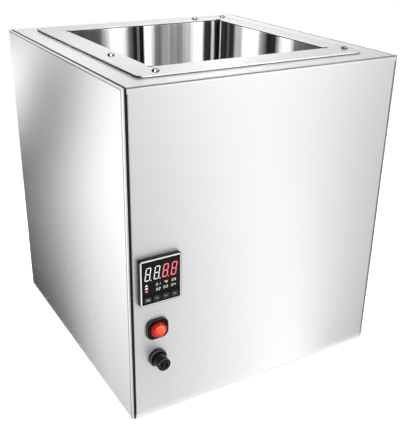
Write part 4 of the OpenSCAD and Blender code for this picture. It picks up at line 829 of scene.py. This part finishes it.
# Board and terminals of the controller
# A green lacquered circuit board with copper tracks behind the window, and two rows of
# brass screw terminals on the back of the case.
board_green, shader = new_material("board_green")
upright = mapped(places(shader), (180, 180, 180), turn=(np.pi / 2, 0, 0))
tracks = add(shader.id_data, "TexBrick", {"Vector": upright, "Scale": 1.0}).outputs["Fac"]
patterned(shader, tracks, [(0.0, (0.012, 0.10, 0.035)), (1.0, (0.05, 0.22, 0.08))],
          (0, 1, 0.3, 0.22), (0.3, 0.0001))
dress(board_green, "controller_board")
brass = metal("terminal_brass", (0.70, 0.53, 0.24), (800, 800, 800),
              contrast=0.18, smooth=0.2, dull=0.36, bump=0.08)[0]
dress(brass, "controller_terminals", "relay_terminals", "block_screws", "switch_tabs", "fuse_tabs",
      "inlet_pins", "earth_stud", "earth_nut")

# Power switch
# A glossy black moulded body with a rounded plate on the front sheet, held by a nut behind.
# The red button is clear plastic over a lamp: it glows in the middle, its flank is deep red.
gloss_black, shader = moulded("gloss_black", (0.003, 0.003, 0.003), 0.08, 0.16, bump=0.02, gloss=0.16)
# The rounded edges between the face and the sides are a lighter grey. This is partly wear and partly a
# painted highlight.
wear_and_highlight_grey = (0.08, 0.08, 0.083, 1)
towards_y = reckon("ABSOLUTE", facing_of(shader)["Y"])
scuffs = from_to(noise(places(shader), 420.0, 3.0), 0.3, 0.6, 0.5, 1.0)
painted_edge_light_and_shade = times(from_to(towards_y, 0.2, 0.45), from_to(towards_y, 0.97, 0.88), scuffs)
feed(shader, {"Base Color": mixed(now_in(shader, "Base Color"), wear_and_highlight_grey, painted_edge_light_and_shade)})
dress(case_black, "switch_nut", "fuse_nut")


def eased(profile, ease, steps=6):
    """A profile with round corners.

    At each inner corner a quadratic curve runs from a point so far before it to a point so far after it.
    """
    points = np.asarray(profile, float)
    corner = points[1:-1]
    ease = np.broadcast_to(np.asarray(ease, float), len(corner))[:, None]
    back, ahead = points[:-2] - corner, points[2:] - corner
    start = corner + ease * back / np.linalg.norm(back, axis=1)[:, None]
    stop = corner + ease * ahead / np.linalg.norm(ahead, axis=1)[:, None]
    t = np.linspace(0, 1, steps)[:, None, None]
    curves = (1 - t) ** 2 * start + 2 * t * (1 - t) * corner + t ** 2 * stop
    return np.concatenate([points[:1], curves.swapaxes(0, 1).reshape(-1, 2), points[-1:]])


def turned_about_y(profile, x, z, steps=72):
    """A profile of (radius, y) pairs carried round an axis along Y.

    x is the radius times the cosine and z the radius times the sine of the turn.
    """
    radius, y = np.asarray(profile, float).T
    turn = np.linspace(0, 2 * np.pi, steps, endpoint=False)
    return stood_up(radius[:, None, None] * np.stack([np.cos(turn), np.sin(turn)], -1), y, x, z)


# Rows of the body: round barrel, plate with a rounded edge, and a round well for the button.
switch_x, switch_z = -138.2, 114.7
plate = round_cornered(26.3, 24.5, 8.4, 18)
ring = plate / np.linalg.norm(plate, axis=1)[:, None]
face_outline, well_mouth = 0.91 * plate, 10.0 * ring
edge = np.linspace(0, np.pi / 2, 7)
edge_radius, plate_half = 1.1, 12.5
rows = np.concatenate([
    np.array([0, 10.2, 10.2])[:, None, None] * ring,
    plate[None],
    plate * (1 - edge_radius * (1 - np.cos(edge)) / plate_half)[:, None, None],
    (0.6 * face_outline + 0.4 * well_mouth)[None],
    np.array([9.25, 8.96, 8.96, 9.46, 9.46, 0])[:, None, None] * ring])
rows_y = np.concatenate([
    [-154, -154, -178, -178], -180.1 - edge_radius * np.sin(edge),
    [-181.2, -181.2, -180.9, -176.4, -176.4, -171.3, -171.3]])
skin_over("switch_plate", stood_up(rows, rows_y, switch_x, switch_z), gloss_black, "cabinet",
          ["switch_body"])

# The lamp shows through most at the upper right of the button, mottled by the moulding.
button_red, shader = moulded("button_red", (0.30, 0.004, 0.003), 0.08, 0.16, bump=0.01, gloss=0.35)
place = places(shader)
spot = axes(mapped(place, (1000, 1000, 1000), shift=(-switch_x, 0, -switch_z)))
reach = reach_of(spot["X"], spot["Z"])
slant = times(reckon("ADD", spot["X"], spot["Z"]), 0.05)
mottle = times(noise(place, 330.0, 2.0), 0.9)
glow = reckon("ADD", reckon("SUBTRACT", slant, times(reach, 0.05)), mottle)
glow = times(from_to(glow, -0.3, 0.6), from_to(reach, 7.3, 6.2))
light = ramp(glow, [(0.0, (0.12, 0.001, 0.001)), (0.25, (0.75, 0.015, 0.008)), (0.6, (1.0, 0.10, 0.025)),
                    (1.0, (1.0, 0.28, 0.08))])
feed(shader, {"Emission Color": light, "Emission Strength": 0.95})
button_profile = eased(
    [(0, -174.2), (9.4, -174.2), (9.4, -176.0), (8.9, -176.0), (8.9, -184.2), (7.1, -185.8), (0, -186.0)],
    [0.2, 0.2, 0.15, 0.4, 0.5])
skin_over("lit_button", turned_about_y(button_profile, switch_x, switch_z), button_red, "power_button",
          ["power_button"])

# Fuse holder
# A black moulded flange with a threaded barrel through the front sheet, and a screw cap
# with a hollow end and a finger bar across it. The cap draws the glass fuse out.
fuse_x, fuse_z = -138.2, 77.0
flange_profile = eased(
    [(0, -142), (7.6, -142), (7.6, -178), (10.7, -178), (10.7, -181.2), (9.3, -182.6), (8.3, -182.6),
     (8.0, -182.2), (7.0, -182.2), (6.6, -182.6), (5.66, -182.6), (5.66, -146.0), (0, -146.0)],
    [0.4, 0.2, 0.2, 0.5, 0.5, 0.15, 0.15, 0.15, 0.15, 0.2, 0.3])
skin_over("fuse_flange", turned_about_y(flange_profile, fuse_x, fuse_z), gloss_black, "cabinet",
          ["fuse_body"])
cap_profile = eased(
    [(0, -178.1), (2.7, -178.1), (2.7, -171.0), (5.6, -171.0), (5.6, -183.0), (7.7, -183.0), (7.7, -195.2),
     (6.9, -196.0), (5.3, -196.0), (4.9, -195.6), (4.7, -193.4), (0, -193.4)],
    [0.1, 0.1, 0.2, 0.3, 0.6, 0.5, 0.4, 0.3, 0.3, 0.6])
skin_over("fuse_cap_turned", turned_about_y(cap_profile, fuse_x, fuse_z), gloss_black, "fuse_cap",
          ["fuse_cap"])
# The bar is a round-cornered section carried along Z and closed to a point at both ends.
bar_y = -194.0
bar_z = np.array([-4.7, -4.7, -4.4, 4.4, 4.7, 4.7])
bar_rows = np.array([0, 0.8, 1, 1, 0.8, 0])[:, None, None] * round_cornered(1.8, 2.4, 0.5, 5)
finger_bar = np.stack([fuse_x + bar_rows[..., 0], bar_y + bar_rows[..., 1],
                       fuse_z + np.broadcast_to(bar_z[:, None], bar_rows.shape[:2])], -1)
skin_over("fuse_cap_bar", finger_bar, gloss_black, "fuse_cap")

# Glass fuse
# A clear glass tube with a thin wire in it and a nickel cap pressed on each end, held in
# the screw cap of the fuse holder.
fuse_glass, shader = new_material("fuse_glass")
draw_lines = noise(mapped(places(shader), (1500, 40, 1500)), 1.0, 2.0)
patterned(shader, draw_lines, [(0.3, (0.86, 0.92, 0.92)), (0.7, (0.97, 0.99, 0.99))], (0.3, 0.7, 0.02, 0.06))
feed(shader, {"Transmission Weight": 1.0})
tube_profile = eased([(2.0, -175.0), (2.4, -175.0), (2.4, -161.0), (2.0, -161.0), (2.0, -175.0)], 0.08, 4)
skin_over("fuse_tube", turned_about_y(tube_profile, fuse_x, fuse_z, 48), fuse_glass, "fuse_cartridge",
          ["fuse_cartridge"])
nickel = metal("cap_nickel", (0.66, 0.64, 0.60), (1200, 40, 1200),
               contrast=0.12, smooth=0.14, dull=0.26, bump=0.05)[0]
front_cup = np.array([(0, -178.0), (2.6, -178.0), (2.6, -173.0), (2.42, -173.0), (2.42, -177.6),
                      (0, -177.6)])
rear_cup = front_cup * (1, -1) - (0, 336.0)
cups = np.stack([turned_about_y(eased(cup, 0.1, 4), fuse_x, fuse_z, 48) for cup in (front_cup, rear_cup)])
skin_over("fuse_end_cups", cups, nickel, "fuse_cartridge")
# The wire is thin towards its ends and sags in the middle, both by the sine of the way along it.
sine = np.sin(np.linspace(0, np.pi, 24))
wire_profile = np.stack([0.12 * sine ** 0.2, np.linspace(-177.6, -158.4, 24)], -1)
wire = turned_about_y(wire_profile, fuse_x, fuse_z, 10)
wire[..., 2] -= 0.25 * sine[:, None]
skin_over("fuse_wire", wire, nickel, "fuse_cartridge")

# Relay, terminal block and mains inlet
# A black cased relay on its plate, a pale block with screw clamps on the heat shield, and a
# black moulded inlet with three blades, screwed to the rear panel from outside.
pale_block = moulded("pale_block", (0.78, 0.75, 0.66), 0.4, 0.6, pitch=1800.0, bump=0.15)[0]
dress(pale_block, "terminal_block")
dress(case_black, "relay")
inlet_black = moulded("inlet_black", (0.014, 0.014, 0.015), 0.3, 0.45, pitch=1800.0, bump=0.15)[0]
dress(inlet_black, "power_inlet")

# Leads
# Stranded copper in grey silicone rubber. They join the terminal block to the inlet, the fuse
# holder, the relay and a heater mat, and the temperature probe to the controller.
lead_rubber = moulded("lead_rubber", (0.16, 0.16, 0.17), 0.45, 0.65, pitch=3500.0, bump=0.2, gloss=0.3)[0]
dress(lead_rubber, "wiring")
